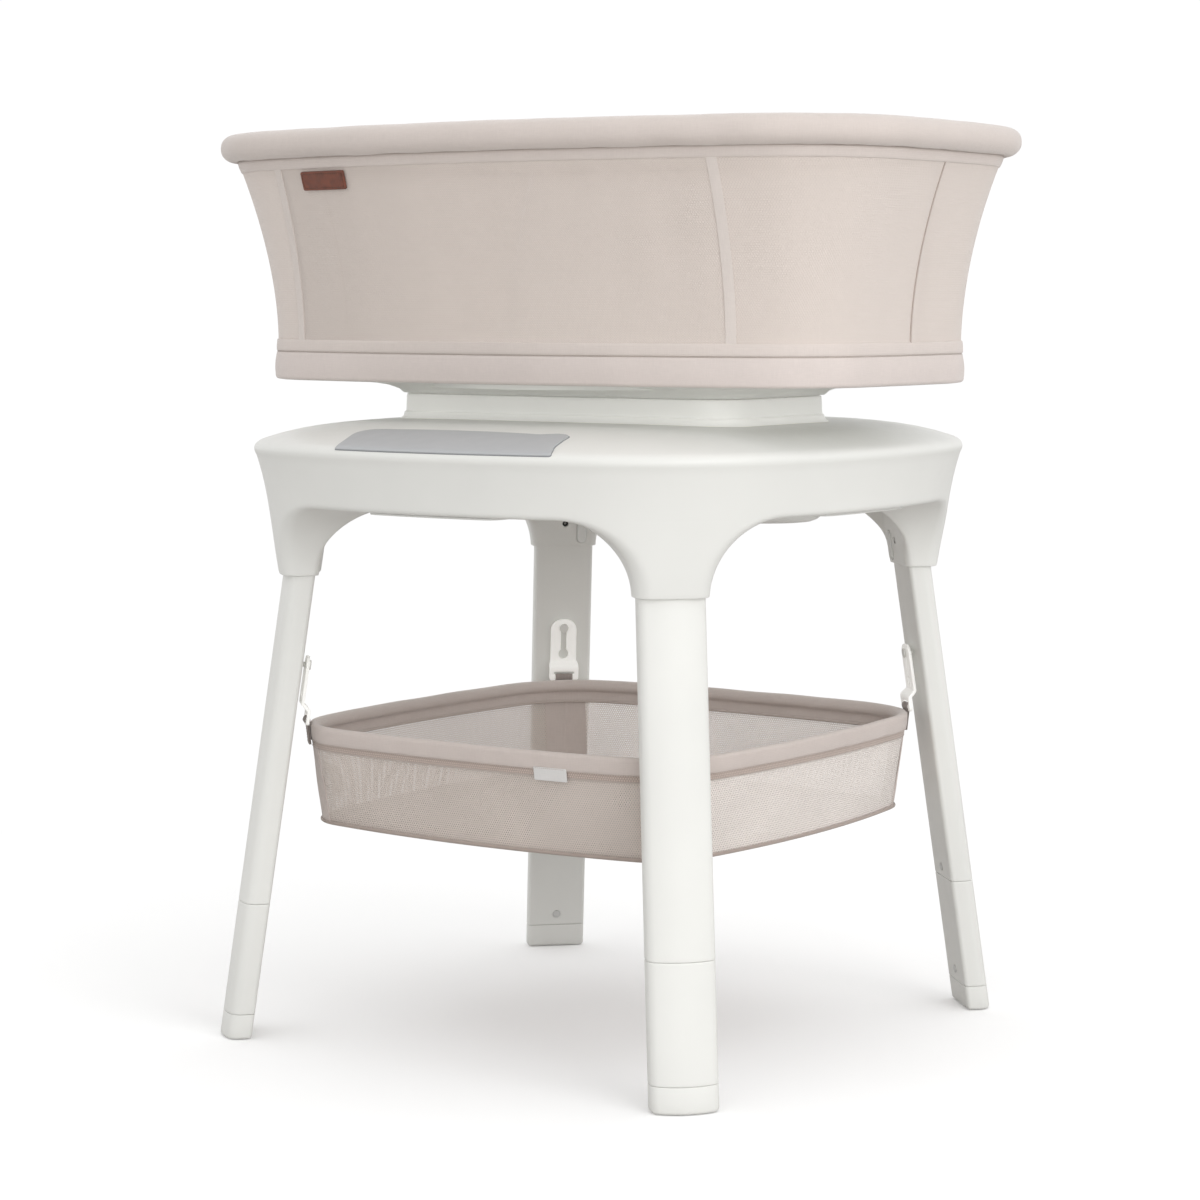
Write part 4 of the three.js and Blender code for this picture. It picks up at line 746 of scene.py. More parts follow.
# recess wall, inner skin and underside of the dome, back to the drive opening
r_l = np.hypot(loop[:, 0], loop[:, 1]); rho_ol = polar(top_dense, lphi); rho_hl = polar(hole, lphi)
irows = [at(loop, 565), at(loop, 566), at(loop, 590), at(loop, 610)]
zc = dome(r_l / rho_ol) - 4.5
zc = np.minimum(zc, dome(np.clip(r_l / rho_ol, 0, 1)) - 4.5)
for t in np.linspace(0, 1, 5)[1:]:
    irows.append(at(loop * (1 - 0.03 * t * t)[..., None] if np.ndim(t) else loop * (1 - 0.03 * t * t), lerp(610, 1, 0) + (dome(r_l * 0.97 / rho_ol) - 4.0 - 610) * t))
for t in np.linspace(0, 1, 9)[1:]:
    r = lerp(r_l * 0.97, rho_hl, t)
    irows.append(np.stack([r * np.cos(lphi), r * np.sin(lphi), dome(r / rho_ol) - 4.0], 1))
ii = sb.grid(np.array(irows).transpose(1, 0, 2), cu=True)
sb.zipper(oi[:, -1], ii[:, -1])
# posts: closed sections from the skirt line down to the socket rim
for q in range(4):
    er = np.array([math.cos(math.pi / 4 + q * math.pi / 2), math.sin(math.pi / 4 + q * math.pi / 2)]); et = np.array([-er[1], er[0]])
    base = q * (NPC + NSIDE)
    secs = []
    for th in np.concatenate([np.linspace(90, 4, 26), [2, 0]]):
        z = 490 + 75 * math.sin(math.radians(th)); tb = 112.45 - 75 * math.cos(math.radians(th)); s = float(sig(z))
        k = float(sstep(th, 0, 90)); r = lerp(15.7, EDGE_R, k); ri = lerp(8.2, RI_TOP, k)
        t = tau * tb
        d = d_of(t, s)
        delta = np.maximum(np.hypot(TB - np.abs(t), z - 490) - 75, 0)
        e = edge_e(delta, r)
        o = np.outer(d, er) + np.outer(t, et)
        dr = np.array([er * 1.0] * NPC)
        w = sstep(np.abs(t), 82, 150)
        nn = np.stack([nrm[base + j] for j in range(NPC)])
        dr = dr * (1 - w[:, None]) + nn * w[:, None]; dr /= np.linalg.norm(dr, axis=1)[:, None]
        o = o - dr * e[:, None]
        di = leg_a(z) * math.sqrt(2) - 19.2
        a = np.linspace(0, math.pi / 2, 6)
        cr2 = [((tb - ri) + ri * math.cos(x), di + ri - ri * math.sin(x)) for x in a]
        pl = [(x, di) for x in np.linspace(tb - ri, -(tb - ri), 15)[1:-1]]
        cr = [(-x, y) for x, y in cr2[::-1]]
        inn = np.array([er * (dd - flare(tt)) + et * tt for tt, dd in cr2 + pl + cr])
        st1 = [lerp(o[-1], inn[0], u) for u in np.linspace(0, 1, lip_n)[1:-1]]
        st2 = [lerp(inn[-1], o[0], u) for u in np.linspace(0, 1, lip_n)[1:-1]]
        secs.append(at(np.concatenate([o, st1, inn, st2]), z))
    last = secs[-1]; c = last.mean(0)
    secs[-1] = np.concatenate([last[:, :2], last[:, 2:] + 0.8], 1) if False else last
    r1 = last.copy(); r1[:, 2] = 489.6; r1[:, :2] = c[:2] + (last[:, :2] - c[:2]) * 0.994
    r2 = last.copy(); r2[:, 2] = 489.2; r2[:, :2] = c[:2] + (last[:, :2] - c[:2]) * 0.975
    for a_ in (r1, r2):
        a_[:, 2] += 0.8
    secs[-1] = last.copy(); secs[-1][:, 2] = 491.2
    secs += [r1, r2]
    idx = sb.grid(np.array(secs).transpose(1, 0, 2), cu=True)
    sb.fan(idx[:, -1])
shell = obj("stand_top_shell", sb.mesh("stand_top_shell", weld=0.06), SHELL, "stand", "stand_shell", angle=40)
cut = Build()
for name, sx, sy in LEGS:
    lathe(cut, cyl_prof(3.75, 0.8, 9), inner_face(sx, sy, 516.5), 28)
    M = inner_face(sx, sy, 513) @ trans(rel_x(sx, sy), -3, 0)
    prism(cut, pill(12.1, 34.1), 0.2, 9, 0, M)
IN_Y = 344.5 * float(sig(592)) - 60 ** 2 * 0.001427 / 2
Mi = np.eye(4); Mi[:3, :3] = np.array([[1, 0, 0], [0, 0, 1], [0, -1, 0]]).T; Mi[:3, 3] = (60, IN_Y, 592)
Mi = np.array([[1, 0, 0, 60], [0, 0, 1, IN_Y], [0, -1, 0, 592], [0, 0, 0, 1.0]])
lathe(cut, cyl_prof(8.4, -14, 8), Mi, 36)
boolean(shell, cut.mesh("c")); shade(shell.data, 40)
while len(shell.data.materials) < 2: shell.data.materials.append(SHELLB)
for f_ in shell.data.polygons:
    c_ = f_.center
    f_.material_index = 1 if (c_.x < -0.12 and c_.y > 0.12 and c_.z < 0.5648) else 0
# a near-black disc just inside each small round hole in the posts: painted shade for the hole's dark inside, not a part
for name, sx, sy in LEGS:
    b = Build()
    lathe(b, [(3.6, 0.25), (3.6, 0.7), (3.3, 0.95), (1.6, 1.0), (1.4, 0.8)], inner_face(sx, sy, 516.5), 28)
    obj(f"hole_shade_disc_{name}", b, HOLE_SHADE, "stand", ())

# flat cover below, with the oval well for the drive and the idler post
b = Build()
lc = loop * (1 - 1.0 / r_l)[:, None]
Rr = [at(lc * 0.9, 564.4), at(lc, 564.4), at(lc, 563.0), at(lc * (1 - .5 / r_l)[:, None], 562.4)]
def oval(a, c, n=72):
    w = np.arange(n) * 2 * math.pi / n
    return np.stack([a * np.cos(w) + 190, c * np.sin(w) - 40], 1)
lp2 = [lc * f for f in (0.97, 0.9)]
Rr += [at(p, 562.3) for p in lp2]
G = np.array(Rr).transpose(1, 0, 2)
gi = b.grid(G, cu=True)
b.fan(gi[:, 0], centre=[0, 0, 564.4]); b.fan(gi[::-1, -1], centre=[0, 0, 562.3])
R = [at(oval(94, 68), 563.2), at(oval(92.5, 66.5), 562.2), at(oval(90.5, 64.5), 561.6), at(oval(89, 63), 560.4), at(oval(88, 62), 558), at(oval(84, 58.5), 555.2), at(oval(78, 53), 553), at(oval(70, 46), 552.1), at(oval(52, 33), 551.9), at(oval(20, 12), 551.9)]
gi = b.grid(np.array(R).transpose(1, 0, 2), cu=True); b.fan(gi[:, 0]); b.fan(gi[::-1, -1])
lathe(b, [(10, 564.6), (8.6, 565.4), (8, 568), (8, 640.6), (7.4, 641.4), (3, 641.5), (3, 655)], trans(0, 80, 0), 36)
for k in range(14):   # screw bosses round the edge of the cover
    a = 2 * math.pi * (k + 0.5) / 14; r = float(polar(loop, a)) - 16
    lathe(b, [(4.2, 563), (4.2, 562.1), (3.8, 561.9), (2.2, 561.9), (1.7, 562.6)], trans(r * math.cos(a), r * math.sin(a), 0), 20)
obj("stand_cover_plate", b, CAPM, "stand", "stand_bottom_cover")

# ------------------------------------------------------------------ plates that lie on a surface
def pad_on(b, surf, out, off0, off1, bev=0.6, rings=8, mat=0, uvc=None):
    """Closed thin plate with an outline given in surface coordinates; surf(p2, off) gives points."""
    out = np.asarray(out, float); c = out.mean(0)
    ext = np.abs(out - c).max(0)
    def sc(d):
        return c + (out - c) * (1 - d / ext)
    R = [surf(sc(0), off0)]
    for k in range(1, 5):
        a = math.pi / 2 * (k - 1) / 3
        R.append(surf(sc(bev * (1 - math.cos(a))), off1 - bev + bev * math.sin(a)))
    P2 = [sc(0)] + [sc(bev * (1 - math.cos(math.pi / 2 * k / 3))) for k in range(4)]
    last = sc(bev)
    for k in range(1, rings):
        p = c + (last - c) * (1 - k / rings); R.append(surf(p, off1)); P2.append(p)
    P = np.array(R).transpose(1, 0, 2)
    U = np.array(P2).transpose(1, 0, 2); U = np.concatenate([U, U[:1]])
    idx = b.grid(P, cu=True, uv=U, mat=mat)
    b.fan(idx[::-1, -1], centre=surf(c[None], off1)[0], mat=mat)
    # back
    Rb = [surf(c + (out - c) * f, off0) for f in (1, 0.6, 0.25)]
    ib = b.grid(np.array(Rb).transpose(1, 0, 2), cu=True, mat=mat, flip=True)
    b.fan(ib[:, -1], centre=surf(c[None], off0)[0], mat=mat)
    return idx

def y_gauge(x, f):
    """y on the panel side where a plan line at x reaches the share f of the outline."""
    y = np.full(np.shape(x), -340.0)
    for _ in range(40):
        y = y * f / fgauge(x, y)
    return y
FB = float(sig(zB))
def panel_surf(p, off):
    """p holds x and a running share of the outline; past the dome it follows the rolled edge."""
    x, s = p[:, 0], p[:, 1]
    w = np.clip((s - fA) / 0.06, 0, 0.62); t = 1 - w
    f = np.where(s > fA, FB * (1 - t) ** 2 + 1.008 * 2 * t * (1 - t) + fA * t * t, s)
    z = np.where(s > fA, zB * (1 - t) ** 2 + 626.6 * 2 * t * (1 - t) + float(dome(fA)) * t * t, dome(s))
    df = np.where(s > fA, -(2 * FB * (t - 1) + 1.008 * (2 - 4 * t) + 2 * fA * t), 1.0)
    dz = np.where(s > fA, -(2 * zB * (t - 1) + 626.6 * (2 - 4 * t) + 2 * float(dome(fA)) * t), -24 * DOME_N * np.clip(s, 0, 1) ** (DOME_N - 1))
    y = y_gauge(x, f)
    ty, tz = -df * 344.5, dz
    ln = np.hypot(ty, tz)
    return np.stack([x, y + tz / ln * off, z - ty / ln * off], 1)

def panel_outline():
    """Corners in (x, share): rounded at the back, square where the panel meets the rolled edge."""
    s1 = fA + 0.021
    back = np.array([(-105.0, s1 - 0.006), (-106.5, 0.945), (-109.5, 0.912), (-112.3, 0.885), (-112.8, 0.866), (-111, 0.848), (-107, 0.832), (-100.7, 0.8185), (-92, 0.811), (-82, 0.8075)])
    back[:, 1] -= 0.0
    xs = np.linspace(-74, 116, 36)
    top = np.stack([xs, fgauge(xs, np.full(len(xs), -273.2))], 1)
    right = np.array([(122.0, 0.8085), (128.5, 0.812), (134, 0.819), (138.3, 0.832), (140.8, 0.85), (143, 0.878), (145.4, 0.907), (148, 0.94), (151.5, 0.962), (154.5, s1 - 0.006)])
    ctrl = np.concatenate([back, top, right])
    # smooth the run of control points
    pts, K = [], len(ctrl)
    for i in range(K - 1):
        p0, p1, p2, p3 = ctrl[max(i - 1, 0)], ctrl[i], ctrl[i + 1], ctrl[min(i + 2, K - 1)]
        for u in np.linspace(0, 1, 4 if 9 <= i < K - 11 else 6, endpoint=False):
            pts.append(0.5 * ((2 * p1) + (-p0 + p2) * u + (2 * p0 - 5 * p1 + 4 * p2 - p3) * u * u + (-p0 + 3 * p1 - 3 * p2 + p3) * u ** 3))
    pts.append(ctrl[-1])
    pts += [(154.3, s1 - 0.003), (153.0, s1 - 0.0006)] + [(x, s1) for x in np.linspace(151, -101, 70)] + [(-103.5, s1 - 0.0006), (-104.8, s1 - 0.003)]
    return np.array(pts)[::-1]

def panel_plate(b, off0, off1, bev, nr=16, grow=0.0):
    """Closed plate: an even grid inside a narrow rounded rim, so no face folds over the roll."""
    out = panel_outline(); c = np.array([18.0, 0.9])
    e_ = out - c; out = c + e_ * (1 + grow / np.array([np.abs(e_[:, 0]).max(), np.abs(e_[:, 1]).max() * 340]))
    def sc(d):
        e = out - c; n = np.array([np.abs(e[:, 0]).max(), np.abs(e[:, 1]).max() * 340])
        return c + e * (1 - d / n)
    R = [panel_surf(sc(0), off0), panel_surf(sc(0), off1 - bev)]
    P2 = [sc(0), sc(0)]
    for i in range(1, 5):
        a = math.pi / 2 * i / 4; q = sc(bev * (1 - math.cos(a))); R.append(panel_surf(q, off1 - bev + bev * math.sin(a))); P2.append(q)
    last = sc(bev)
    for i in range(1, nr):
        q = c + (last - c) * (1 - i / nr); R.append(panel_surf(q, off1)); P2.append(q)
    P = np.array(R).transpose(1, 0, 2)
    U = np.array([[(a[0], a[1] * 340) for a in q] for q in P2]).transpose(1, 0, 2); U = np.concatenate([U, U[:1]])
    idx = b.grid(P, cu=True, uv=U)
    b.fan(idx[::-1, -1], centre=panel_surf(c[None], off1)[0])
    Rb = [panel_surf(c + (out - c) * f, off0) for f in (1, 0.75, 0.5, 0.25)]
    ib = b.grid(np.array(Rb).transpose(1, 0, 2), cu=True, flip=True)
    b.fan(ib[:, -1], centre=panel_surf(c[None], off0)[0])
b = Build()
panel_plate(b, -0.6, 1.7, 0.7)
# a slightly larger plate under the panel shows a thin darker ring round its edge: painted shade for the gap
bg_ = Build()
panel_plate(bg_, -0.7, 0.35, 0.2, grow=0.9)
obj("panel_gap_line", bg_, PANEL_GAP_SHADE, "stand", ())
obj("touch_panel", b, PANEL, "stand", "control_panel")

# ------------------------------------------------------------------ pedestal
PED = dict(A=217.0, B=115.0, kx=0.0002, ky=0.0004, R=45.0)
def ring_poly(o, off, n=(26, 14)):
    return bow_outline(inset(o, -off) if off else o, *n)
pr = []
for k in range(7):
    a = math.pi / 2 * k / 6
    p = ring_poly(PED, 7 * (1 - math.sin(a)))
    pr.append(at(p, 0) + np.concatenate([np.zeros((len(p), 2)), (dome_z(p[:, 0], p[:, 1]) - 0.4 + 7 * (1 - math.cos(a)))[:, None]], 1))
for ins, z in ((2, 658), (2.6, 672.4), (2.7, 674.2), (2.95, 675.2), (3.4, 675.9), (4.1, 676.3), (4.8, 676.4), (9, 676.4)):
    pr.append(at(ring_poly(PED, -ins), z))
pphi = np.arctan2(pr[0][:, 1], pr[0][:, 0])
ho = rrect(176, 104, 6, 10); hr = polar(ho, pphi)
last = pr[-1]
lr = np.hypot(last[:, 0], last[:, 1]); lphi2 = np.arctan2(last[:, 1], last[:, 0]); hr = polar(ho, lphi2)
for t in (0.5, 0.96, 1.0):
    r = lerp(lr, hr, t); pr.append(np.stack([r * np.cos(lphi2), r * np.sin(lphi2), np.full(len(r), 676.4 - (0.4 if t == 1 else 0))], 1))
pr.append(np.stack([hr * np.cos(lphi2), hr * np.sin(lphi2), np.full(len(hr), 673.4)], 1))
p6 = ring_poly(PED, -6.4)
pr.append(at(p6, 673.4)); pr.append(at(p6, 655))
pr.append(np.concatenate([p6, (dome_z(p6[:, 0], p6[:, 1]) - 0.4)[:, None]], 1))
b = Build(); b.grid(np.array(pr).transpose(1, 0, 2), cu=True, cv=True)
obj("pedestal_housing", b, PEDM, "stand", "pedestal")

# ------------------------------------------------------------------ tray
TIN = dict(A=218.0, B=116.0, kx=0.0002, ky=0.0004, R=46.0); TOUT = dict(A=252.0, B=150.0, kx=0.0002, ky=0.0004, R=62.0)
def tring(t, z, off=0):
    return at(bow_outline(inset(mixo(TIN, TOUT, t), off) if off else mixo(TIN, TOUT, t), 26, 14), z)
tr = [tring(0, 677.4, 30), tring(0, 677.4, 6), tring(0, 677.4, 0.8), tring(0.0, 677.6, 0.2), tring(0.01, 678.2)]
for u in np.linspace(0, 1, 10)[1:]:
    t = 0.04 + 0.84 * u ** 1.35 if False else None
    zz = lerp(678.2, 688.2, u)
    tt = np.interp(zz, [677.4, 681.4, 685.8, 689.0, 690.6], [0, 0.1, 0.4, 0.9, 1.0])
    tr.append(tring(float(tt), zz))
tt0 = float(np.interp(688.2, [677.4, 681.4, 685.8, 689.0, 690.6], [0, 0.1, 0.4, 0.9, 1.0]))
for a in np.linspace(0, math.pi / 2, 6)[1:]:
    tr.append(tring(lerp(tt0, 1.0, math.sin(a)), lerp(688.2, 690.6, 1 - math.cos(a))))
tr.append(tring(1, 690.6, 8))
rec = rrect(374, 190, 20, 13)
l0 = tr[-1]; ph = np.arctan2(l0[:, 1], l0[:, 0]); rr = polar(rec, ph)
for rsc, z in ((1.004, 690.6), (1.0, 690.2), (1.0, 686.0), (0.995, 685.6), (0.6, 685.6)):
    tr.append(np.stack([rr * rsc * np.cos(ph), rr * rsc * np.sin(ph), np.full(len(rr), z)], 1))
b = Build()
idx = b.grid(np.array(tr).transpose(1, 0, 2), cu=True)
b.fan(idx[:, 0]); b.fan(idx[::-1, -1])
tray = obj("bassinet_tray", b, TRAYM, "tray", "tray")
b = Build()
prism(b, rrect(120, 40, 4, 6), 669, 679, 0.5); prism(b, rrect(164, 52, 4, 6), 654, 671, 0.8); prism(b, rrect(9, 20, 1.5, 4) + [19.2, 0], 645.5, 655.5, 0.5)
blk = obj("tray_slide_block", b, TRAYM, "tray", ())
cut = Build()
for x in (-68, 68):
    M = np.array([[1, 0, 0, x], [0, 0, 1, 0], [0, -1, 0, 663.5], [0, 0, 0, 1.0]])
    lathe(cut, cyl_prof(5.6, -40, 40), M, 36)
boolean(blk, cut.mesh("c")); shade(blk.data)

# carried-over machine parts
for n, m in (("guide_rail_left", STEEL), ("guide_rail_right", STEEL), ("drive_motor", MOTOR), ("drive_pulley", PULLEY), ("idler_pulley", PULLEY),
             ("drive_belt", RUBBER), ("circuit_board", BOARDM), ("power_inlet", DARKP), ("base_board", CAPM), ("bassinet_frame", STEEL)):
    nodes[n].data.materials.clear(); nodes[n].data.materials.append(m)
    for p in nodes[n].data.polygons:
        p.use_smooth = False

# ------------------------------------------------------------------ bassinet
SKB = dict(A=365.0, B=217.0, kx=0.000767, ky=0.00049, R=100.7); MSB = dict(A=364.9, B=227.4, kx=0.001075, ky=0.000694, R=101.7)
RMS = dict(A=406.8, B=258.8, kx=0.000838, ky=0.000943, R=141.7)
def bass(z):
    if z <= 733.8:
        return mixo(SKB, MSB, (z - 691.1) / 42.7)
    return mixo(MSB, RMS, min(1.0, (z - 733.8) / 189.1) ** 1.82)
def bring(z, d=0.0, n=(60, 60)):
    return bow_outline(inset(bass(z), d) if d else bass(z), *n)
RIBX = 272.0
def arc_at(z, d=0.0):
    """Dense closed outline at z, its running length, and the lengths where x = +-RIBX on the long sides."""
    p = bring(z, d, (90, 90)); q = np.concatenate([p, p[:1]])
    s = np.concatenate([[0], np.cumsum(np.linalg.norm(np.diff(q, axis=0), axis=1))])
    def cross(sx, sy):
        f = (q[:, 0] - sx * RIBX)
        for i in range(len(q) - 1):
            if f[i] * f[i + 1] <= 0 and q[i, 1] * sy > 100:
                u = f[i] / (f[i] - f[i + 1]) if f[i] != f[i + 1] else 0
                return s[i] + u * (s[i + 1] - s[i])
    S = [cross(1, 1), cross(-1, 1), cross(-1, -1), cross(1, -1)]
    return q, s, S
def arc_pts(A, t):
    q, s, S = A
    L = s[-1]; t = np.mod(t, L)
    return np.stack([np.interp(t, s, q[:, 0]), np.interp(t, s, q[:, 1])], 1)
def seg(A, part):
    q, s, S = A
    return {"back": (S[0], S[1]), "left": (S[1], S[2]), "front": (S[2], S[3]), "right": (S[3], S[0] + s[-1])}[part]
ARC = {}
def arc(z, d=0.0):
    k = (round(z, 3), round(d, 3))
    if k not in ARC:
        ARC[k] = arc_at(*k)
    return ARC[k]
def outn(P):
    """Outward normals in plan of points along an anticlockwise line."""
    t = np.gradient(P[:, :2], axis=0)
    n = np.stack([t[:, 1], -t[:, 0]], 1)
    return n / np.linalg.norm(n, axis=1)[:, None]

def wall_sheet(name, part, z0, z1, d, mat, node=None, nu=120, nz=44, u0=0.0, u1=1.0, thick=0.8, wav=None, solid=True, endcut=0.0):
    """Cloth on the wall between two heights; d is how far inside the outline it lies."""
    zs = np.linspace(z0, z1, nz); F, U = [], []
    ref = seg(arc(830.0), part); Lr = ref[1] - ref[0]
    tt = np.linspace(u0, u1, nu)
    for z in zs:
        a, b_ = seg(arc(z, d), part)
        a += endcut; b_ -= endcut
        p = arc_pts(arc(z, d), a + (b_ - a) * tt)
        n = outn(p)
        if wav is not None:
            p = p + n * wav(tt * Lr, z)[:, None]
        F.append(at(p, z)); U.append(np.stack([tt * Lr, np.full(nu, z)], 1))
    P = np.array(F).transpose(1, 0, 2); UV = np.array(U).transpose(1, 0, 2)
    b = Build(); b.grid(P, uv=UV)
    ob = obj(name, b, mat, "bassinet", node or (), 60)
    if solid:
        m = ob.modifiers.new("thick", "SOLIDIFY"); m.thickness = thick * MM; m.offset = -1.0
        apply_mods(ob)
    return ob

def apply_mods(ob):
    dg = bpy.context.evaluated_depsgraph_get()
    me = bpy.data.meshes.new_from_object(ob.evaluated_get(dg))
    ob.modifiers.clear()
    old = ob.data; nm = old.name; ob.data = me; bpy.data.meshes.remove(old); me.name = nm

def corner_folds(seed, part):
    r = np.random.RandomState(seed)
    def f(u, z):
        k = (z - 733.8) / 189.0
        env = np.sin(np.clip(k, 0, 1) * math.pi) ** 0.8
        w = waves(u, z * 0.25, seed, 6, (45, 130), (150, 300)) * 0.45
        return env * w
    return f
WZ0, WZ1 = 733.4, 921.6
for part in ("front", "back", "left", "right"):
    wall_sheet(f"mesh_panel_{part}", part, WZ0 + 0.4, WZ1 - 0.4, 0.9, {"front": MESHFR, "back": MESHF}.get(part, MESHEN), f"mesh_wall_{part}", nu=170 if part in ("front", "back") else 200, nz=56,
               wav=corner_folds(11 + len(part), part), endcut=0.4, solid=False)

def loop_sheet(name, prof, mat, node=None, n=420, wav=None, body="bassinet", ringf=None, uoff=0.0):
    """Closed band round the bassinet. prof: (z, inset) pairs of a closed section, run through in order."""
    rows, lens = [], [0.0]
    for k, (z, d) in enumerate(prof):
        A = arc(z, d); L = A[1][-1]
        t = L * np.arange(n) / n
        p = arc_pts(A, t)
        if wav is not None:
            q = np.concatenate([p[-1:], p, p[:1]]); nn = outn(q)[1:-1]
            p = p + nn * wav(t / L, z, d)[:, None]
        rows.append(at(p, z))
        if k: lens.append(lens[-1] + math.hypot(prof[k][0] - prof[k - 1][0], prof[k][1] - prof[k - 1][1]))
    P = np.array(rows).transpose(1, 0, 2)
    Lr = arc(prof[0][0], 0.0)[1][-1]
    lens.append(lens[-1] + math.hypot(prof[0][0] - prof[-1][0], prof[0][1] - prof[-1][1]))
    uu = Lr * np.arange(n + 1) / n
    UV = np.stack(np.broadcast_arrays(uu[:, None], np.array(lens)[None]), -1)
    b = Build(); b.grid(P, cu=True, cv=True, uv=UV)
    ob = obj(name, b, mat, body, node or (), 50)
    return ob

def soft_wave(seed, amp, lu=(40, 160), n=9):
    r = np.random.RandomState(seed); ks = r.randint(14, 52, n); ph = r.uniform(0, 6.28, n); kz = r.uniform(-0.03, 0.03, n)
    def f(t, z, d):
        return amp * sum(np.sin(2 * math.pi * k * t + p + kzz * z) for k, p, kzz in zip(ks, ph, kz)) / math.sqrt(n)
    return f
# bindings at the top and the bottom of the mesh, each a folded strip with rounded edges
def strip_prof(z0, z1, out, inn, r=0.5):
    return [(z0 + r, out + 0.0), (lerp(z0, z1, .25), out - 0.25), (lerp(z0, z1, .5), out - 0.35), (lerp(z0, z1, .75), out - 0.25), (z1 - r, out), (z1, out + r), (z1, inn - r * 0.5), (z1 - r, inn), (lerp(z0, z1, .5), inn), (z0 + r, inn), (z0, inn - r * 0.5), (z0, out + r)]
loop_sheet("top_binding", strip_prof(911.8, 922.2, -0.5, 2.2), BANDF, wav=soft_wave(3, 0.12))
loop_sheet("bottom_binding", strip_prof(722.0, 734.4, -0.45, 2.2), BANDF, "base_skirt", wav=soft_wave(4, 0.14))
# ribs on the long sides and seams at the ends
def rib(name, sx, sy, w=11.0, out=0.05, mat=RIBF, z0=734.0, z1=912.2, nz=50, crown=0.3, ends=False):
    zs = np.linspace(z0, z1, nz); F, U = [], []
    x = np.linspace(-w / 2, w / 2, 9)
    prof = [(xx, out + crown * (1 - (2 * xx / w) ** 2)) for xx in x] + [(w / 2 - 0.1, -1.6), (0, -1.7), (-w / 2 + 0.1, -1.6)]
    for z in zs:
        A = arc(z)
        if ends:
            s0 = 0.0 if sx > 0 else A[1][-1] / 2
        else:
            s0 = A[2][{(1, 1): 0, (-1, 1): 1, (-1, -1): 2, (1, -1): 3}[(sx, sy)]]
        row, uvr = [], []
        for k, (du, dd) in enumerate(prof):
            p = arc_pts(A, np.array([s0 + du - 1, s0 + du, s0 + du + 1])); t = p[2] - p[0]; n = np.array([t[1], -t[0]]) / np.linalg.norm(t)
            row.append([*(p[1] + n * dd), z]); uvr.append((du, z))
        F.append(row); U.append(uvr)
    P = np.array(F).transpose(1, 0, 2); UV = np.array(U).transpose(1, 0, 2); UV = np.concatenate([UV, UV[:1]])
    b = Build(); idx = b.grid(P, cu=True, uv=UV); b.fan(idx[:, 0]); b.fan(idx[::-1, -1])
    ob = obj(name, b, mat, "bassinet", (), 50)
    return ob
for nm, sx, sy in LEGS:
    rib(f"rib_band_{nm}", sx, sy)
SEAMS = {nm: rib(f"end_seam_{nm}", sx, 0, w=1.6, out=0.35, mat=SEAMF, crown=0.25, ends=True) for nm, sx in (("right", 1), ("left", -1))}

# skirt: stiffened fabric with a rounded lower hem
def skirt_prof():
    z0, z1, r, T = 691.4, 720.9, 4.2, 3.4
    p = []
    for k in range(7):
        a = math.pi / 2 * k / 6
        p.append((z0 + r - r * math.cos(a) if False else z0 + r * (1 - math.sin(a)), r * (1 - math.cos(a)) if False else 0))
    p = []
    for k in range(7):                       # underside to outer face
        a = math.pi / 2 * k / 6
        p.append((z0 + r * (1 - math.sin(a)), -0.1 + r * (1 - math.cos(a))))
    p = p[::-1]
    for u in np.linspace(0.08, 1, 9):
        z = lerp(z0 + r, z1 - 1.0, u); p.append((z, -0.1 - 1.1 * math.sin(math.pi * u)))
    p += [(z1 - 0.3, 0.35), (z1, 1.1), (z1, T - 0.6), (z1 - 1, T), (714, T), (704, T), (696, T + 0.8), (z0 + 0.3, T + 1.4)]
    return p
# the first profile runs from the hem upwards on the outside and back down on the inside
sp = skirt_prof()
loop_sheet("skirt_cover", sp, SKIRTF, "base_skirt", wav=lambda t, z, d: soft_wave(5, 0.18)(t, z, d) * float(np.clip((720 - z) / 16, 0.1, 1)))
# piping bead in the seam between skirt and mesh, and under the rim cover
def bead(name, z, d, r, mat, n=420, m=8, body="bassinet"):
    A = arc(z, d); L = A[1][-1]; t = L * np.arange(n) / n; p = arc_pts(A, t)
    q = np.concatenate([p[-1:], p, p[:1]]); nn = outn(q)[1:-1]
    rows = []
    for k in range(m):
        w = 2 * math.pi * k / m
        rows.append(at(p + nn * r * math.cos(w), z + r * math.sin(w)))
    P = np.array(rows).transpose(1, 0, 2)
    uu = L * np.arange(n + 1) / n; vv = 2 * math.pi * r * np.arange(m + 1) / m
    b = Build(); b.grid(P, cu=True, cv=True, uv=np.stack(np.broadcast_arrays(uu[:, None], vv[None]), -1))
    return obj(name, b, mat, body, (), 60)
bead("skirt_seam_bead", 721.45, 0.95, 0.7, SEAMF)
bead("rim_seam_bead", 922.9, 0.3, 0.8, SEAMF)

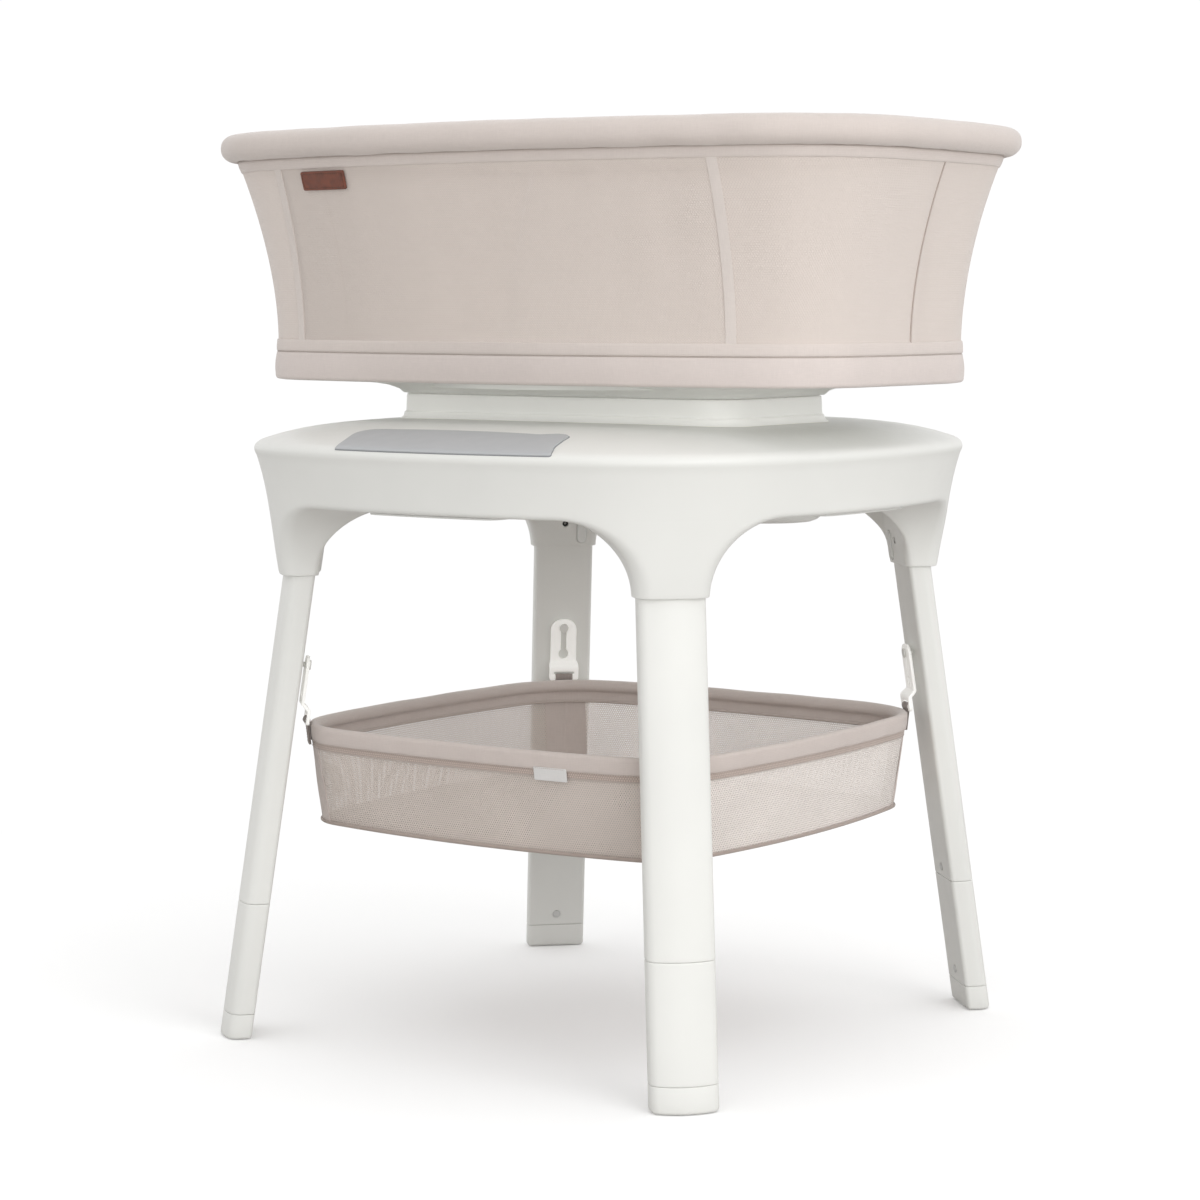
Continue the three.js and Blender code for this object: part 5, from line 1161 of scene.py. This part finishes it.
# padded rim cover
n, m = 640, 44
A = (lambda p: (np.concatenate([p, p[:1]]),))(bow_outline(RMS, 200, 200))
q = A[0]; s = np.concatenate([[0], np.cumsum(np.linalg.norm(np.diff(q, axis=0), axis=1))]); L = s[-1]
t = L * np.arange(n) / n
line = np.stack([np.interp(t, s, q[:, 0]), np.interp(t, s, q[:, 1])], 1)
tg = np.roll(line, -1, 0) - np.roll(line, 1, 0); nn = np.stack([tg[:, 1], -tg[:, 0]], 1); nn /= np.linalg.norm(nn, axis=1)[:, None]
tf = np.arange(n) / n
def pwave(seed, kmin, kmax, cnt):
    r = np.random.RandomState(seed)
    K, Ph, Q = r.randint(kmin, kmax, cnt), r.uniform(0, 6.28, cnt), r.randint(-2, 3, cnt)
    return lambda w: sum(np.sin(2 * math.pi * k * tf + p + qq * w) for k, p, qq in zip(K, Ph, Q)) / math.sqrt(cnt)
f1, f2, f3 = pwave(21, 12, 40, 8), pwave(22, 50, 110, 10), pwave(23, 3, 9, 4)
curv = 1 - np.clip(np.abs(np.abs(nn[:, 0]) - np.abs(nn[:, 1])) , 0, 1)      # near 1 on the corners
rows, vs = [], []
per = 2 * math.pi * math.sqrt((18.4 ** 2 + 15 ** 2) / 2)
for k in range(m):
    w = -math.pi / 2 + 2 * math.pi * k / m
    c_, s_ = math.cos(w), math.sin(w)
    e = 2 / 2.25
    hu = 18.2 * abs(c_) ** e * (1 if c_ >= 0 else -1); hv = 14.9 * abs(s_) ** e * (1 if s_ >= 0 else -1)
    low = float(sstep(-s_, 0.2, 1.0))            # fabric gathers towards the lower seam
    amp = 0.16 + 0.06 * low
    d = f1(w) * amp + f2(w * 2) * (0.05 + 0.10 * low) * (0.35 + curv) + f3(w) * 0.25
    groove = -1.3 * math.exp(-((w + math.pi / 2 if w < math.pi / 2 else w - 1.5 * math.pi) / 0.10) ** 2)
    dd = d + groove
    rows.append(np.concatenate([line + nn * (hu + dd * c_)[:, None], (937.6 + hv + dd * s_)[:, None]], 1))
P = np.array(rows).transpose(1, 0, 2)
UV = np.stack(np.broadcast_arrays((L * np.arange(n + 1) / n)[:, None], (per * np.arange(m + 1) / m)[None]), -1)
b = Build(); b.grid(P, cu=True, cv=True, uv=UV)
rc = obj("padded_rim_cover", b, COVERF, "bassinet", "rim_cover", 60)

# mattress: firm pad with a crowned top, quilted channels and piping
b = Build()
def mring(d, z):
    return at(bow_outline(inset(bass(736), d), 40, 30), z)
prof = []
for k in range(9):
    a = -math.pi / 2 + math.pi / 2 * k / 8; prof.append((33 - 6 * math.cos(a), 698 + 7 + 7 * math.sin(a)))
prof += [(26.6, 711), (26.4, 716), (26.6, 721)]
for k in range(9):
    a = math.pi / 2 * k / 8; prof.append((35 - 8 * math.cos(a), 725 + 8 * math.sin(a)))
rows = [mring(d, z) for d, z in prof]
base = rows[-1]
for k in range(1, 40):
    u = k / 40
    p = base[:, :2] * (1 - u)
    z = 733.0 + 1.6 * math.sin(min(1, u * 3) * math.pi / 2)
    chan = -1.5 * np.exp(-((np.mod(p[:, 0] + 1e-9, 130) - 65) / 5.5) ** 2) - 1.2 * np.exp(-((np.abs(p[:, 1]) - 62) / 5.0) ** 2)
    chan = chan * float(sstep(u, 0.04, 0.14))
    rows.append(np.concatenate([p, (z + chan + 0.35 * waves(p[:, 0], p[:, 1], 9, 8, (60, 160), (50, 140)) * float(sstep(u, 0, .1)))[:, None]], 1))
P = np.array(rows).transpose(1, 0, 2)
UV = np.concatenate([P, P[:1]])[:, :, :2].copy()
for k in range(len(prof)):                        # side faces: length and height
    ring = P[:, k, :2]; rr_ = np.concatenate([ring, ring[:1]])
    ss = np.concatenate([[0], np.cumsum(np.linalg.norm(np.diff(rr_, axis=0), axis=1))])
    if k < len(prof) - 1: UV[:, k] = np.stack([ss, np.full(len(ss), P[0, k, 2])], 1)
idx = b.grid(P, cu=True, uv=UV)
b.fan(idx[:, 0]); b.fan(idx[::-1, -1])
mt = obj("mattress_pad", b, MATTF, "mattress", "mattress", 50)
for nm_, z, d in (("upper", 727.2, 26.9), ("lower", 705.0, 26.8)):
    A_ = bow_outline(inset(bass(736), d), 80, 60); Aq = np.concatenate([A_, A_[:1]])
    ss = np.concatenate([[0], np.cumsum(np.linalg.norm(np.diff(Aq, axis=0), axis=1))]); L_ = ss[-1]; t_ = L_ * np.arange(360) / 360
    p = np.stack([np.interp(t_, ss, Aq[:, 0]), np.interp(t_, ss, Aq[:, 1])], 1)
    tt_ = np.roll(p, -1, 0) - np.roll(p, 1, 0); n_ = np.stack([tt_[:, 1], -tt_[:, 0]], 1); n_ /= np.linalg.norm(n_, axis=1)[:, None]
    rows = [at(p + n_ * 1.5 * math.cos(w), z + 1.5 * math.sin(w)) for w in np.arange(10) * 2 * math.pi / 10]
    b = Build(); b.grid(np.array(rows).transpose(1, 0, 2), cu=True, cv=True, uv=np.stack(np.broadcast_arrays((L_ * np.arange(361) / 360)[:, None], (0.94 * np.arange(11))[None]), -1))
    obj(f"mattress_piping_{nm_}", b, PIPEF, "mattress", (), 60)

# leather tag on the front wall, stitched round its border
def front_surf(p, off):
    out = []
    x, z = p[:, 0], p[:, 1]
    y = np.empty(len(x)); nx = np.empty((len(x), 3))
    for k in range(len(x)):
        def yy(xx, zz):
            o = bass(zz); R = 1 / o["kx"]; return -(o["B"] - (R - math.sqrt(R * R - xx * xx)))
        y0 = yy(x[k], z[k]); gx = (yy(x[k] + 1, z[k]) - yy(x[k] - 1, z[k])) / 2; gz = (yy(x[k], z[k] + 1) - yy(x[k], z[k] - 1)) / 2
        n = np.array([gx, -1.0, gz]); nx[k] = n / np.linalg.norm(n); y[k] = y0
    return np.stack([x, y, z], 1) + nx * off
b = Build()
tagp = rrect(67, 19, 2.2, 6)
def dense(p, step=2.0):
    q = np.concatenate([p, p[:1]]); o = []
    for a, c in zip(q[:-1], q[1:]):
        k = max(1, int(np.linalg.norm(c - a) / step)); o += [a + (c - a) * i / k for i in range(k)]
    return np.array(o)
TC2 = np.array([-198.5, 899.5])
pad_on(b, front_surf, dense(tagp) + TC2, 0.6, 2.5, 0.45, 6)
lt = obj("leather_patch", b, LEATHER, "bassinet", "leather_tag", 50)
sbd = Build()
bp = dense(rrect(62.4, 14.4, 1.2, 4), 0.5); sl = 0.0
qq = resample(bp, int(2 * (62.4 + 14.4) / 3.3), closed=True)
for k in range(len(qq)):
    p0, p1 = qq[k], qq[(k + 1) % len(qq)]
    a_, c_ = p0 + (p1 - p0) * 0.16, p0 + (p1 - p0) * 0.84
    w0, w1 = front_surf((a_ + TC2)[None], 2.55)[0], front_surf((c_ + TC2)[None], 2.55)[0]
    capsule(sbd, w0, w1, 0.33, 6, 2)
obj("leather_patch_stitching", sbd, THREAD, "bassinet", (), 60)

# ------------------------------------------------------------------ basket
BKT = dict(A=266.5, B=266.5, kx=0.00058, ky=0.00058, R=103.0); BKB = dict(A=251.0, B=251.0, kx=0.00088, ky=0.00088, R=54.0)
def bk(z):
    return mixo(BKB, BKT, (z - 226) / 105.5)
BARC = {}
def barc(z, d=0.0):
    k = (round(z, 3), round(d, 3))
    if k not in BARC:
        p = bow_outline(inset(bk(z), d) if d else bk(z), 70, 70); q = np.concatenate([p, p[:1]])
        s = np.concatenate([[0], np.cumsum(np.linalg.norm(np.diff(q, axis=0), axis=1))])
        BARC[k] = (q, s, [s[-1] * f for f in (0.125, 0.375, 0.625, 0.875)])
    return BARC[k]
BPART = {"back": (0, 1), "left": (1, 2), "front": (2, 3), "right": (3, 0)}
STRIP = 25.0      # half width of the solid corner strips
def bk_seg(A, part):
    i, j = BPART[part]; a, b_ = A[2][i], A[2][j]
    if j == 0: b_ += A[1][-1]
    return a, b_
def bk_sheet(name, part, z0, z1, mat, node, nu=110, nz=34):
    zs = np.linspace(z0, z1, nz); F, U = [], []
    a, b_ = bk_seg(barc(270.0), part); Lr = b_ - a - 2 * STRIP
    for z in zs:
        a, b_ = bk_seg(barc(z, 0.9), part); tt = np.linspace(a + STRIP - 1, b_ - STRIP + 1, nu); p = arc_pts(barc(z, 0.9), tt); n = outn(p)
        k = (z - z0) / (z1 - z0)
        u = np.linspace(0, Lr, nu)
        w = waves(u, z, 31 + len(part), 6, (60, 190), (120, 300)) * 1.0 * math.sin(math.pi * k) + 2.2 * math.sin(math.pi * k) * np.sin(np.pi * np.linspace(0, 1, nu)) * -1
        F.append(at(p + n * w[:, None], z)); U.append(np.stack([u, np.full(nu, z)], 1))
    b = Build(); b.grid(np.array(F).transpose(1, 0, 2), uv=np.array(U).transpose(1, 0, 2))
    ob = obj(name, b, mat, "basket", node, 60)
    return ob
# the right and back walls take the lighter copy of the basket mesh, painted light
for k_, part in enumerate(("front", "right", "back", "left")):
    bk_sheet(f"basket_mesh_{part}", part, 229.2, 314.4, BKMESH if part in ("front", "left") else BKMESH_PAINTED_LIGHT, "basket_walls" if k_ == 0 else ())
def bk_strip(name, i, w0=STRIP):
    zs = np.linspace(228.8, 314.2, 28); F, U = [], []
    x = np.linspace(-w0, w0, 31)
    for z in zs:
        A = barc(z); p = arc_pts(A, A[2][i] + x); n = outn(p)
        k = (z - 228.8) / 85.4
        off = 0.25 + 0.35 * (1 - (x / w0) ** 2) + 0.45 * waves(x * 1.0, z, 60 + i, 5, (30, 80), (60, 140)) * math.sin(math.pi * k)
        off = off - 0.9 * np.exp(-(x / 1.6) ** 2)
        F.append(at(p + n * off[:, None], z)); U.append(np.stack([x, np.full(len(x), z)], 1))
    b = Build(); b.grid(np.array(F).transpose(1, 0, 2), uv=np.array(U).transpose(1, 0, 2))
    ob = obj(name, b, BKBAND, "basket", (), 60)
    m_ = ob.modifiers.new("thick", "SOLIDIFY"); m_.thickness = 1.0 * MM; m_.offset = -1.0
    apply_mods(ob); shade(ob.data, 60)
for i, nm in enumerate(("back_right", "back_left", "front_left", "front_right")):
    bk_strip(f"basket_corner_{nm}", i)

def bk_loop(name, prof, mat, node=(), n=420, wavf=None):
    rows, lens = [], [0.0]
    for k, (z, d) in enumerate(prof):
        A = barc(z, d); L = A[1][-1]; t = L * np.arange(n) / n; p = arc_pts(A, t)
        if wavf is not None:
            q = np.concatenate([p[-1:], p, p[:1]]); nn_ = outn(q)[1:-1]; dn, dz = wavf(np.arange(n) / n, z, d)
            p = p + nn_ * dn[:, None]
            rows.append(np.concatenate([p, (z + dz)[:, None]], 1))
        else:
            rows.append(at(p, z))
        if k: lens.append(lens[-1] + math.hypot(z - prof[k - 1][0], d - prof[k - 1][1]))
    lens.append(lens[-1] + math.hypot(prof[0][0] - prof[-1][0], prof[0][1] - prof[-1][1]))
    L = barc(300.0)[1][-1]
    uv = np.stack(np.broadcast_arrays((L * np.arange(n + 1) / n)[:, None], np.array(lens)[None]), -1)
    b = Build(); b.grid(np.array(rows).transpose(1, 0, 2), cu=True, cv=True, uv=uv)
    ob = obj(name, b, mat, "basket", node, 55)
    return ob
r_ = np.random.RandomState(77)
BW = [(r_.randint(8, 46), r_.uniform(0, 6.28), r_.uniform(-0.10, 0.10), r_.uniform(0.4, 1.0)) for _ in range(16)]
def band_wave(t, z, d):
    k = np.clip((331 - z) / 25.0, 0, 1)
    env = (math.sin(math.pi * min(1, max(0, k))) * 0.75 + 0.18) * (0.15 if z < 313.0 else 1.0)
    w = sum(a * np.sin(2 * math.pi * kk * t + p + q * (z - 318) * 1.0) for kk, p, q, a in BW) / 4.2
    dz = 0.35 * sum(a * np.sin(2 * math.pi * kk * 0.5 // 1 * t + p) for kk, p, q, a in BW[:6]) / 3 * (1.0 if z > 328 or z < 308 else 0.4)
    return w * env * 0.62, dz
prof = [(313.6, 0.0), (313.2, -0.9), (314.1, -1.5)] + [(z, -1.5 - 0.35 * math.sin(math.pi * (z - 313) / 15)) for z in np.linspace(316, 327.5, 8)]
prof += [(329.5, -1.1), (331.0, 0.4), (331.6, 2.6), (331.3, 5.2), (330.2, 7.8), (328.2, 10.0), (325.4, 11.3), (322.6, 11.0), (320.4, 9.4), (319.0, 7.0), (318.2, 4.9), (317.4, 3.9), (314, 3.4), (310, 3.2), (307.4, 3.0), (306.0, 2.4), (306.6, 1.9), (309.0, 1.9), (312.6, 1.8)]
rim_fold = bk_loop("basket_rim_fold", prof, BKBAND, "basket_rim_band", wavf=band_wave)
def bk_bead(name, z, d, r, mat, n=400, m=10):
    prof_ = [(z + r * math.sin(w), d - r * math.cos(w)) for w in np.arange(m) * 2 * math.pi / m]
    return bk_loop(name, prof_, mat, n=n)
hem_bead = bk_bead("basket_hem_bead", 313.5, -1.35, 0.5, SEAMF)
low_hem = bk_bead("basket_lower_hem", 306.4, -0.4, 0.5, SEAMF)
hem_strip = bk_loop("basket_hem_strip", [(306.8, 0.5), (306.8, -0.35), (308.5, -0.55), (311, -0.6), (313.2, -0.5), (313.3, 0.5)], HEMST)
in_pipe = bk_bead("basket_inner_piping", 306.6, 3.9, 1.1, PIPEF)
barc(300.0)[1][-1] * MM
bk_bead("basket_bottom_piping", 227.6, -0.9, 1.9, BKPIPE)
# stiffened floor that sags a little between its edges
b = Build()
rows = []
for k in range(7):
    a = -math.pi / 2 + math.pi * k / 6
    rows.append(at(bow_outline(inset(BKB, 1.2 - 1.4 * math.cos(a)), 30, 26), 227.1 + 2.0 * math.sin(a)))
top = rows[-1]
for k in range(1, 30):
    u = k / 30; p = top[:, :2] * (1 - u)
    sag = -1.1 * float(sstep(u, 0, 0.7)) + 0.4 * waves(p[:, 0], p[:, 1], 91, 8, (90, 220), (90, 220)) * float(sstep(u, 0, 0.2))
    rows.append(np.concatenate([p, (229.1 + sag)[:, None]], 1))
bot = []
for k in range(1, 8):
    u = k / 8; p = rows[0][:, :2] * (1 - u); bot.append(at(p, 225.1 - 0.0))
P = np.array(bot[::-1] + rows).transpose(1, 0, 2)
UV = np.concatenate([P, P[:1]])[:, :, :2]
idx = b.grid(P, cu=True, uv=UV); b.fan(idx[:, 0]); b.fan(idx[::-1, -1])
bf = obj("basket_floor_panel", b, BKFLOOR, "basket", "basket_floor", 55)

# hooks: bevelled plates with a keyhole, a stepped lower arm and a webbing slot
def hook_mesh():
    cu = bpy.data.curves.new("hook", "CURVE"); cu.dimensions = "2D"; cu.fill_mode = "BOTH"
    T = 3.4; bev = 0.55
    cu.extrude = (T / 2 - bev) * MM; cu.bevel_depth = bev * MM; cu.bevel_resolution = 2
    def arcp(cx, cy, r, a0, a1, k=10):
        return [(cx + r * math.cos(math.radians(a0 + (a1 - a0) * i / k)), cy + r * math.sin(math.radians(a0 + (a1 - a0) * i / k))) for i in range(k + 1)]
    o = 0.0
    W, Lp = 15 - bev, 52 - bev
    p = []
    p += arcp(W - 12, Lp - 12, 12, 0, 90) + arcp(-W + 12, Lp - 12, 12, 90, 180)
    p += [(-W, 12), (-W, 4)] + arcp(-17 + bev + 3, -4, 3, 180, 180, 1) + [(-17 + bev, -6)] + arcp(-17 + bev + 3.5, -23 + 3.5, 3.5, 180, 270, 6)
    p += arcp(17 - bev - 3.5, -23 + 3.5, 3.5, 270, 360, 6) + [(17 - bev, -6), (17 - bev, -4), (W, 4), (W, 12)]
    def spl(pts):
        q = [pts[0]]
        for a in pts[1:]:
            if math.hypot(a[0] - q[-1][0], a[1] - q[-1][1]) > 0.05: q.append(a)
        s_ = cu.splines.new("POLY"); s_.points.add(len(q) - 1); s_.use_cyclic_u = True
        for i, (x, y) in enumerate(q): s_.points[i].co = (x * MM, y * MM, 0, 1)
    spl(p)
    kh = arcp(0, 42, 3.4 + bev, 0, 180, 14) + [(-3.4 - bev, 17.5)] + arcp(0, 11, 6 + bev, 122, 418, 26) + [(3.4 + bev, 17.5)]
    spl(kh)
    sl = arcp(10.4, -14.2, 1.9 + bev, -90, 90, 6) + arcp(-10.4, -14.2, 1.9 + bev, 90, 270, 6)
    spl(sl)
    # two finger ribs' outline hole is left solid; text-free plate
    ob = bpy.data.objects.new("hook_curve", cu); scene.collection.objects.link(ob)
    dg = bpy.context.evaluated_depsgraph_get()
    me = bpy.data.meshes.new_from_object(ob.evaluated_get(dg))
    bpy.data.objects.remove(ob)
    bm = bmesh.new(); bm.from_mesh(me)
    for y in [4.5, 3.5, 2.5, 1.5, 0.5, -0.5, -1.5, -2.5, -3.5, -4.5, -5.5, -6.5, -7.5, -8.5, -9.5]:
        bmesh.ops.bisect_plane(bm, geom=bm.verts[:] + bm.edges[:] + bm.faces[:], plane_co=(0, y * MM, 0), plane_no=(0, 1, 0))
    bmesh.ops.remove_doubles(bm, verts=bm.verts, dist=1e-6)
    # bend: s along the plate to (out, y)
    ys = np.linspace(10, -30, 401)
    # slope profile of the S bend
    ang = np.radians(52) * (sstep(-ys, -3.2, 0.2) - sstep(-ys, 6.3, 9.6))
    do, dy = np.sin(ang), np.cos(ang)
    out = np.concatenate([[0], np.cumsum((do[1:] + do[:-1]) / 2 * 0.1)]); yy = 10 - np.concatenate([[0], np.cumsum((dy[1:] + dy[:-1]) / 2 * 0.1)])
    for v in bm.verts:
        x, s_, h = v.co.x / MM, v.co.y / MM, v.co.z / MM
        if s_ < 10:
            a = float(np.interp(-s_, -ys, ang)); o_ = float(np.interp(-s_, -ys, out)); y_ = float(np.interp(-s_, -ys, yy))
            v.co = Vector((x, y_ + h * math.sin(a), o_ + h * math.cos(a))) * MM
        else:
            v.co = Vector((x, s_, h)) * MM
    bm.to_mesh(me); bm.free()
    return me, float(out[-1]), yy
hk, STEP, _ = hook_mesh()
print("hook step", STEP)
for name, sx, sy in LEGS:
    me = hk.copy()
    M = inner_face(sx, sy, 352, 6.9)
    M4 = Matrix(M.tolist()); M4.translation = M4.translation * MM
    me.transform(M4)
    if M4.to_3x3().determinant() < 0: me.flip_normals()
    obj(f"hook_plate_{name}", me, HOOKM, "basket", f"basket_hook_{name}", 35)

# webbing: up the outside of the rim, over the bar of the hook and down the inside
def web(name, sx, sy):
    er = np.array([sx * S2, sy * S2, 0]); et = np.array([-er[1], er[0], 0])
    A = barc(331.5, -1.6); D1 = max((A[0][:, 0] * sx + A[0][:, 1] * sy) * S2); A = barc(310, -1.6); D2 = max((A[0][:, 0] * sx + A[0][:, 1] * sy) * S2)
    M = inner_face(sx, sy, 352, 0)
    def loc(out, y):
        p = M[:3, 3] + M[:3, 1] * y + M[:3, 2] * out
        return (p @ er, p[2])
    bar_leg, bar_cen = 6.9 + STEP - 1.7, 6.9 + STEP + 1.7
    yb = -13.0
    T = 1.3
    key = [(D2 + 2.6, 309.0), (D1 + 2.5, 329.5), (D1 + 2.3, 332.5)]
    key += [loc(bar_leg - 1.0, yb - 4.5), loc(bar_leg - 0.9, yb - 1.6), loc((bar_leg + bar_cen) / 2 - 1.2, yb + 0.6), loc((bar_leg + bar_cen) / 2 + 1.2, yb + 0.6), loc(bar_cen + 0.9, yb - 1.6), loc(bar_cen + 1.0, yb - 5.0)]
    key += [(D1 + 0.9, 332.5), (D1 + 1.1, 329.5), (D2 + 1.2, 309.0)]
    key = np.array(key)
    # smooth path through the key points
    pts = []
    K = len(key)
    for i in range(K - 1):
        p0, p1, p2, p3 = key[max(i - 1, 0)], key[i], key[i + 1], key[min(i + 2, K - 1)]
        for u in np.linspace(0, 1, 8, endpoint=False):
            pts.append(0.5 * ((2 * p1) + (-p0 + p2) * u + (2 * p0 - 5 * p1 + 4 * p2 - p3) * u * u + (-p0 + 3 * p1 - 3 * p2 + p3) * u ** 3))
    pts.append(key[-1]); pts = resample(np.array(pts), 90)
    tg_ = np.gradient(pts, axis=0); tg_ /= np.linalg.norm(tg_, axis=1)[:, None]; nr = np.stack([tg_[:, 1], -tg_[:, 0]], 1)
    ss = np.concatenate([[0], np.cumsum(np.linalg.norm(np.diff(pts, axis=0), axis=1))])
    w = 10.0; xs = np.linspace(-w, w, 13)
    sec = [(x, T / 2 * (1 - 0.5 * (abs(x) / w) ** 6)) for x in xs] + [(x, -T / 2 * (1 - 0.5 * (abs(x) / w) ** 6)) for x in xs[::-1]]
    rows, uv = [], []
    for i in range(len(pts)):
        row = []
        for x, h in sec:
            d, z = pts[i] + nr[i] * h
            row.append(er * d + et * x + np.array([0, 0, z]))
        rows.append(row); uv.append([(x if k < 13 else x, ss[i]) for k, (x, h) in enumerate(sec + sec[:1])])
    P = np.array(rows)
    b = Build(); U = np.array(uv)
    idx = b.grid(P.transpose(1, 0, 2), cu=True, uv=U.transpose(1, 0, 2))
    b.fan(idx[:, 0]); b.fan(idx[::-1, -1])
    ob = obj(f"webbing_{name}", b, WEB, "basket", f"basket_strap_{name}", 50)
    sb_ = Build()
    for x in (-8.0, 8.0):
        for z in np.arange(311, 329, 3.0):
            dd = lerp(D2, D1, (z - 310) / 21.5) + 3.35
            capsule(sb_, er * dd + et * x + np.array([0, 0, z]), er * (dd + 0.02) + et * x + np.array([0, 0, z + 1.7]), 0.3, 5, 2)
    for z in (310.6, 328.4):
        dd = lerp(D2, D1, (z - 310) / 21.5) + 3.35
        for x in np.arange(-7.5, 7.6, 3.0):
            capsule(sb_, er * dd + et * (x - 0.8) + np.array([0, 0, z]), er * dd + et * (x + 0.8) + np.array([0, 0, z]), 0.3, 5, 2)
    obj(f"webbing_stitching_{name}", sb_, SEAMF, "basket", (), 60)
for name, sx, sy in LEGS:
    web(name, sx, sy)

# small woven tag at the hem of the front band, stitched along its top
def bk_front(p, off):
    x, z = p[:, 0], p[:, 1]; out = []
    for k in range(len(x)):
        o = bk(z[k]); R = 1 / o["kx"]; y = -(o["B"] - (R - math.sqrt(R * R - x[k] ** 2)))
        out.append((x[k], y - 1.9 - off, z[k]))
    return np.array(out)
b = Build()
pad_on(b, bk_front, dense(rrect(38, 13.5, 0.8, 3)) + [109, 308.8], -0.2, 0.75, 0.25, 5)
obj("woven_side_tag", b, TAGF, "basket", "basket_tag", 50)
sbd = Build()
for x in np.arange(92, 125, 2.4):
    p0, p1 = bk_front(np.array([[x, 314.6]]), 0.78)[0], bk_front(np.array([[x + 1.5, 314.6]]), 0.78)[0]
    capsule(sbd, p0, p1, 0.25, 5, 2)
obj("woven_side_tag_stitching", sbd, SEAMF, "basket", (), 60)
# the steel hoop stays inside the folded hem
nodes["basket_rim_wire"].data.materials.clear(); nodes["basket_rim_wire"].data.materials.append(STEEL)

# ------------------------------------------------------------------ floor, backdrop and lights
fm, nt, bs = new_mat("floor_white", 0.9, spec=0.1)
co = N(nt, "ShaderNodeTexCoord").outputs["Object"]
nz = N(nt, "ShaderNodeTexNoise", {"Vector": co, "Scale": 3.0}).outputs["Fac"]
nt.links.new(ramp(nt, nz, (0.93, 0.93, 0.93), (0.95, 0.95, 0.95)), bs.inputs["Base Color"])
bs.inputs["Emission Color"].default_value = (1, 1, 1, 1)
bs.inputs["Emission Strength"].default_value = 0.10
dist = N(nt, "ShaderNodeVectorMath", {0: co}, operation="LENGTH").outputs["Value"]
fade = N(nt, "ShaderNodeMapRange", {0: dist, 1: 0.75, 2: 1.5, 3: 0.0, 4: 1.0}, interpolation_type="SMOOTHSTEP").outputs[0]
em0 = N(nt, "ShaderNodeEmission", {"Color": (1, 1, 1, 1), "Strength": 1.02})
mx = N(nt, "ShaderNodeMixShader", {0: fade, 1: bs.outputs[0], 2: em0.outputs[0]})
nt.links.new(mx.outputs[0], [n for n in nt.nodes if n.type == "OUTPUT_MATERIAL"][0].inputs[0])
me = bpy.data.meshes.new("floor")
me.from_pydata([(-14, -14, -0.0005), (14, -14, -0.0005), (14, 14, -0.0005), (-14, 14, -0.0005)], [], [(0, 1, 2, 3)])
floor = bpy.data.objects.new("floor", me); scene.collection.objects.link(floor)
me.materials.append(fm)
floor.visible_diffuse = False; floor.visible_glossy = False; floor.visible_transmission = False
gm, nt, bs = new_mat("floor_bounce", 0.9, spec=0.1)
co = N(nt, "ShaderNodeTexCoord").outputs["Object"]
nz = N(nt, "ShaderNodeTexNoise", {"Vector": co, "Scale": 3.0}).outputs["Fac"]
nt.links.new(ramp(nt, nz, (0.62, 0.61, 0.60), (0.66, 0.65, 0.64)), bs.inputs["Base Color"])
me = bpy.data.meshes.new("floor_bounce")
me.from_pydata([(-14, -14, -0.002), (14, -14, -0.002), (14, 14, -0.002), (-14, 14, -0.002)], [], [(0, 1, 2, 3)])
floor2 = bpy.data.objects.new("floor_bounce", me); scene.collection.objects.link(floor2)
me.materials.append(gm)
floor2.visible_camera = False; floor2.visible_shadow = False
bm_, nt, bs = new_mat("backdrop_white", 1.0)
nt.nodes.remove(bs)
em = N(nt, "ShaderNodeEmission", {"Color": (1, 1, 1, 1), "Strength": 1.02})
nt.links.new(em.outputs[0], [n for n in nt.nodes if n.type == "OUTPUT_MATERIAL"][0].inputs[0])
me = bpy.data.meshes.new("backdrop")
c = Vector((1.948, -2.7755, 0)) + Vector((-0.5699, 0.8155, 0)).normalized() * 12
r2 = Vector((0.8196, 0.5729, 0))
vs = [c - r2 * 12 + Vector((0, 0, -1)), c + r2 * 12 + Vector((0, 0, -1)), c + r2 * 12 + Vector((0, 0, 8)), c - r2 * 12 + Vector((0, 0, 8))]
me.from_pydata([tuple(v) for v in vs], [], [(0, 1, 2, 3)])
back = bpy.data.objects.new("backdrop", me); scene.collection.objects.link(back)
me.materials.append(bm_)
back.visible_diffuse = False; back.visible_glossy = False; back.visible_shadow = False
w = bpy.data.worlds.new("world") if scene.world is None else scene.world
scene.world = w; w.use_nodes = True
w.node_tree.nodes["Background"].inputs[0].default_value = (1, 1, 1, 1)
w.node_tree.nodes["Background"].inputs[1].default_value = 0.97
def area(name, loc, target, size, power, size_y=None, color=(1, 1, 1)):
    d = bpy.data.lights.new(name, "AREA"); d.shape = "RECTANGLE"; d.size = size; d.size_y = size_y or size
    d.energy = power; d.color = color
    o = bpy.data.objects.new(name, d); scene.collection.objects.link(o)
    o.location = loc
    o.rotation_euler = (Vector(target) - Vector(loc)).to_track_quat("-Z", "Y").to_euler()
    o.visible_camera = False
    return o
area("key", (3.4, -1.2, 1.9), (0, 0, 0.6), 2.2, 34, 2.0)
area("fill_front", (-0.6, -4.0, 1.6), (0, 0, 0.6), 2.6, 0.5, 2.0)
area("top", (0.2, 0.2, 4.2), (0, 0, 0.5), 3.4, 4, 3.4)
area("camera_fill", (2.6, -2.9, 0.9), (0, 0, 0.55), 2.6, 16, 1.4)
area("left", (-3.6, 0.4, 1.8), (0, 0, 0.6), 2.2, 1.0, 2.2)
scene.view_settings.view_transform = "Standard"
scene.view_settings.look = "None"
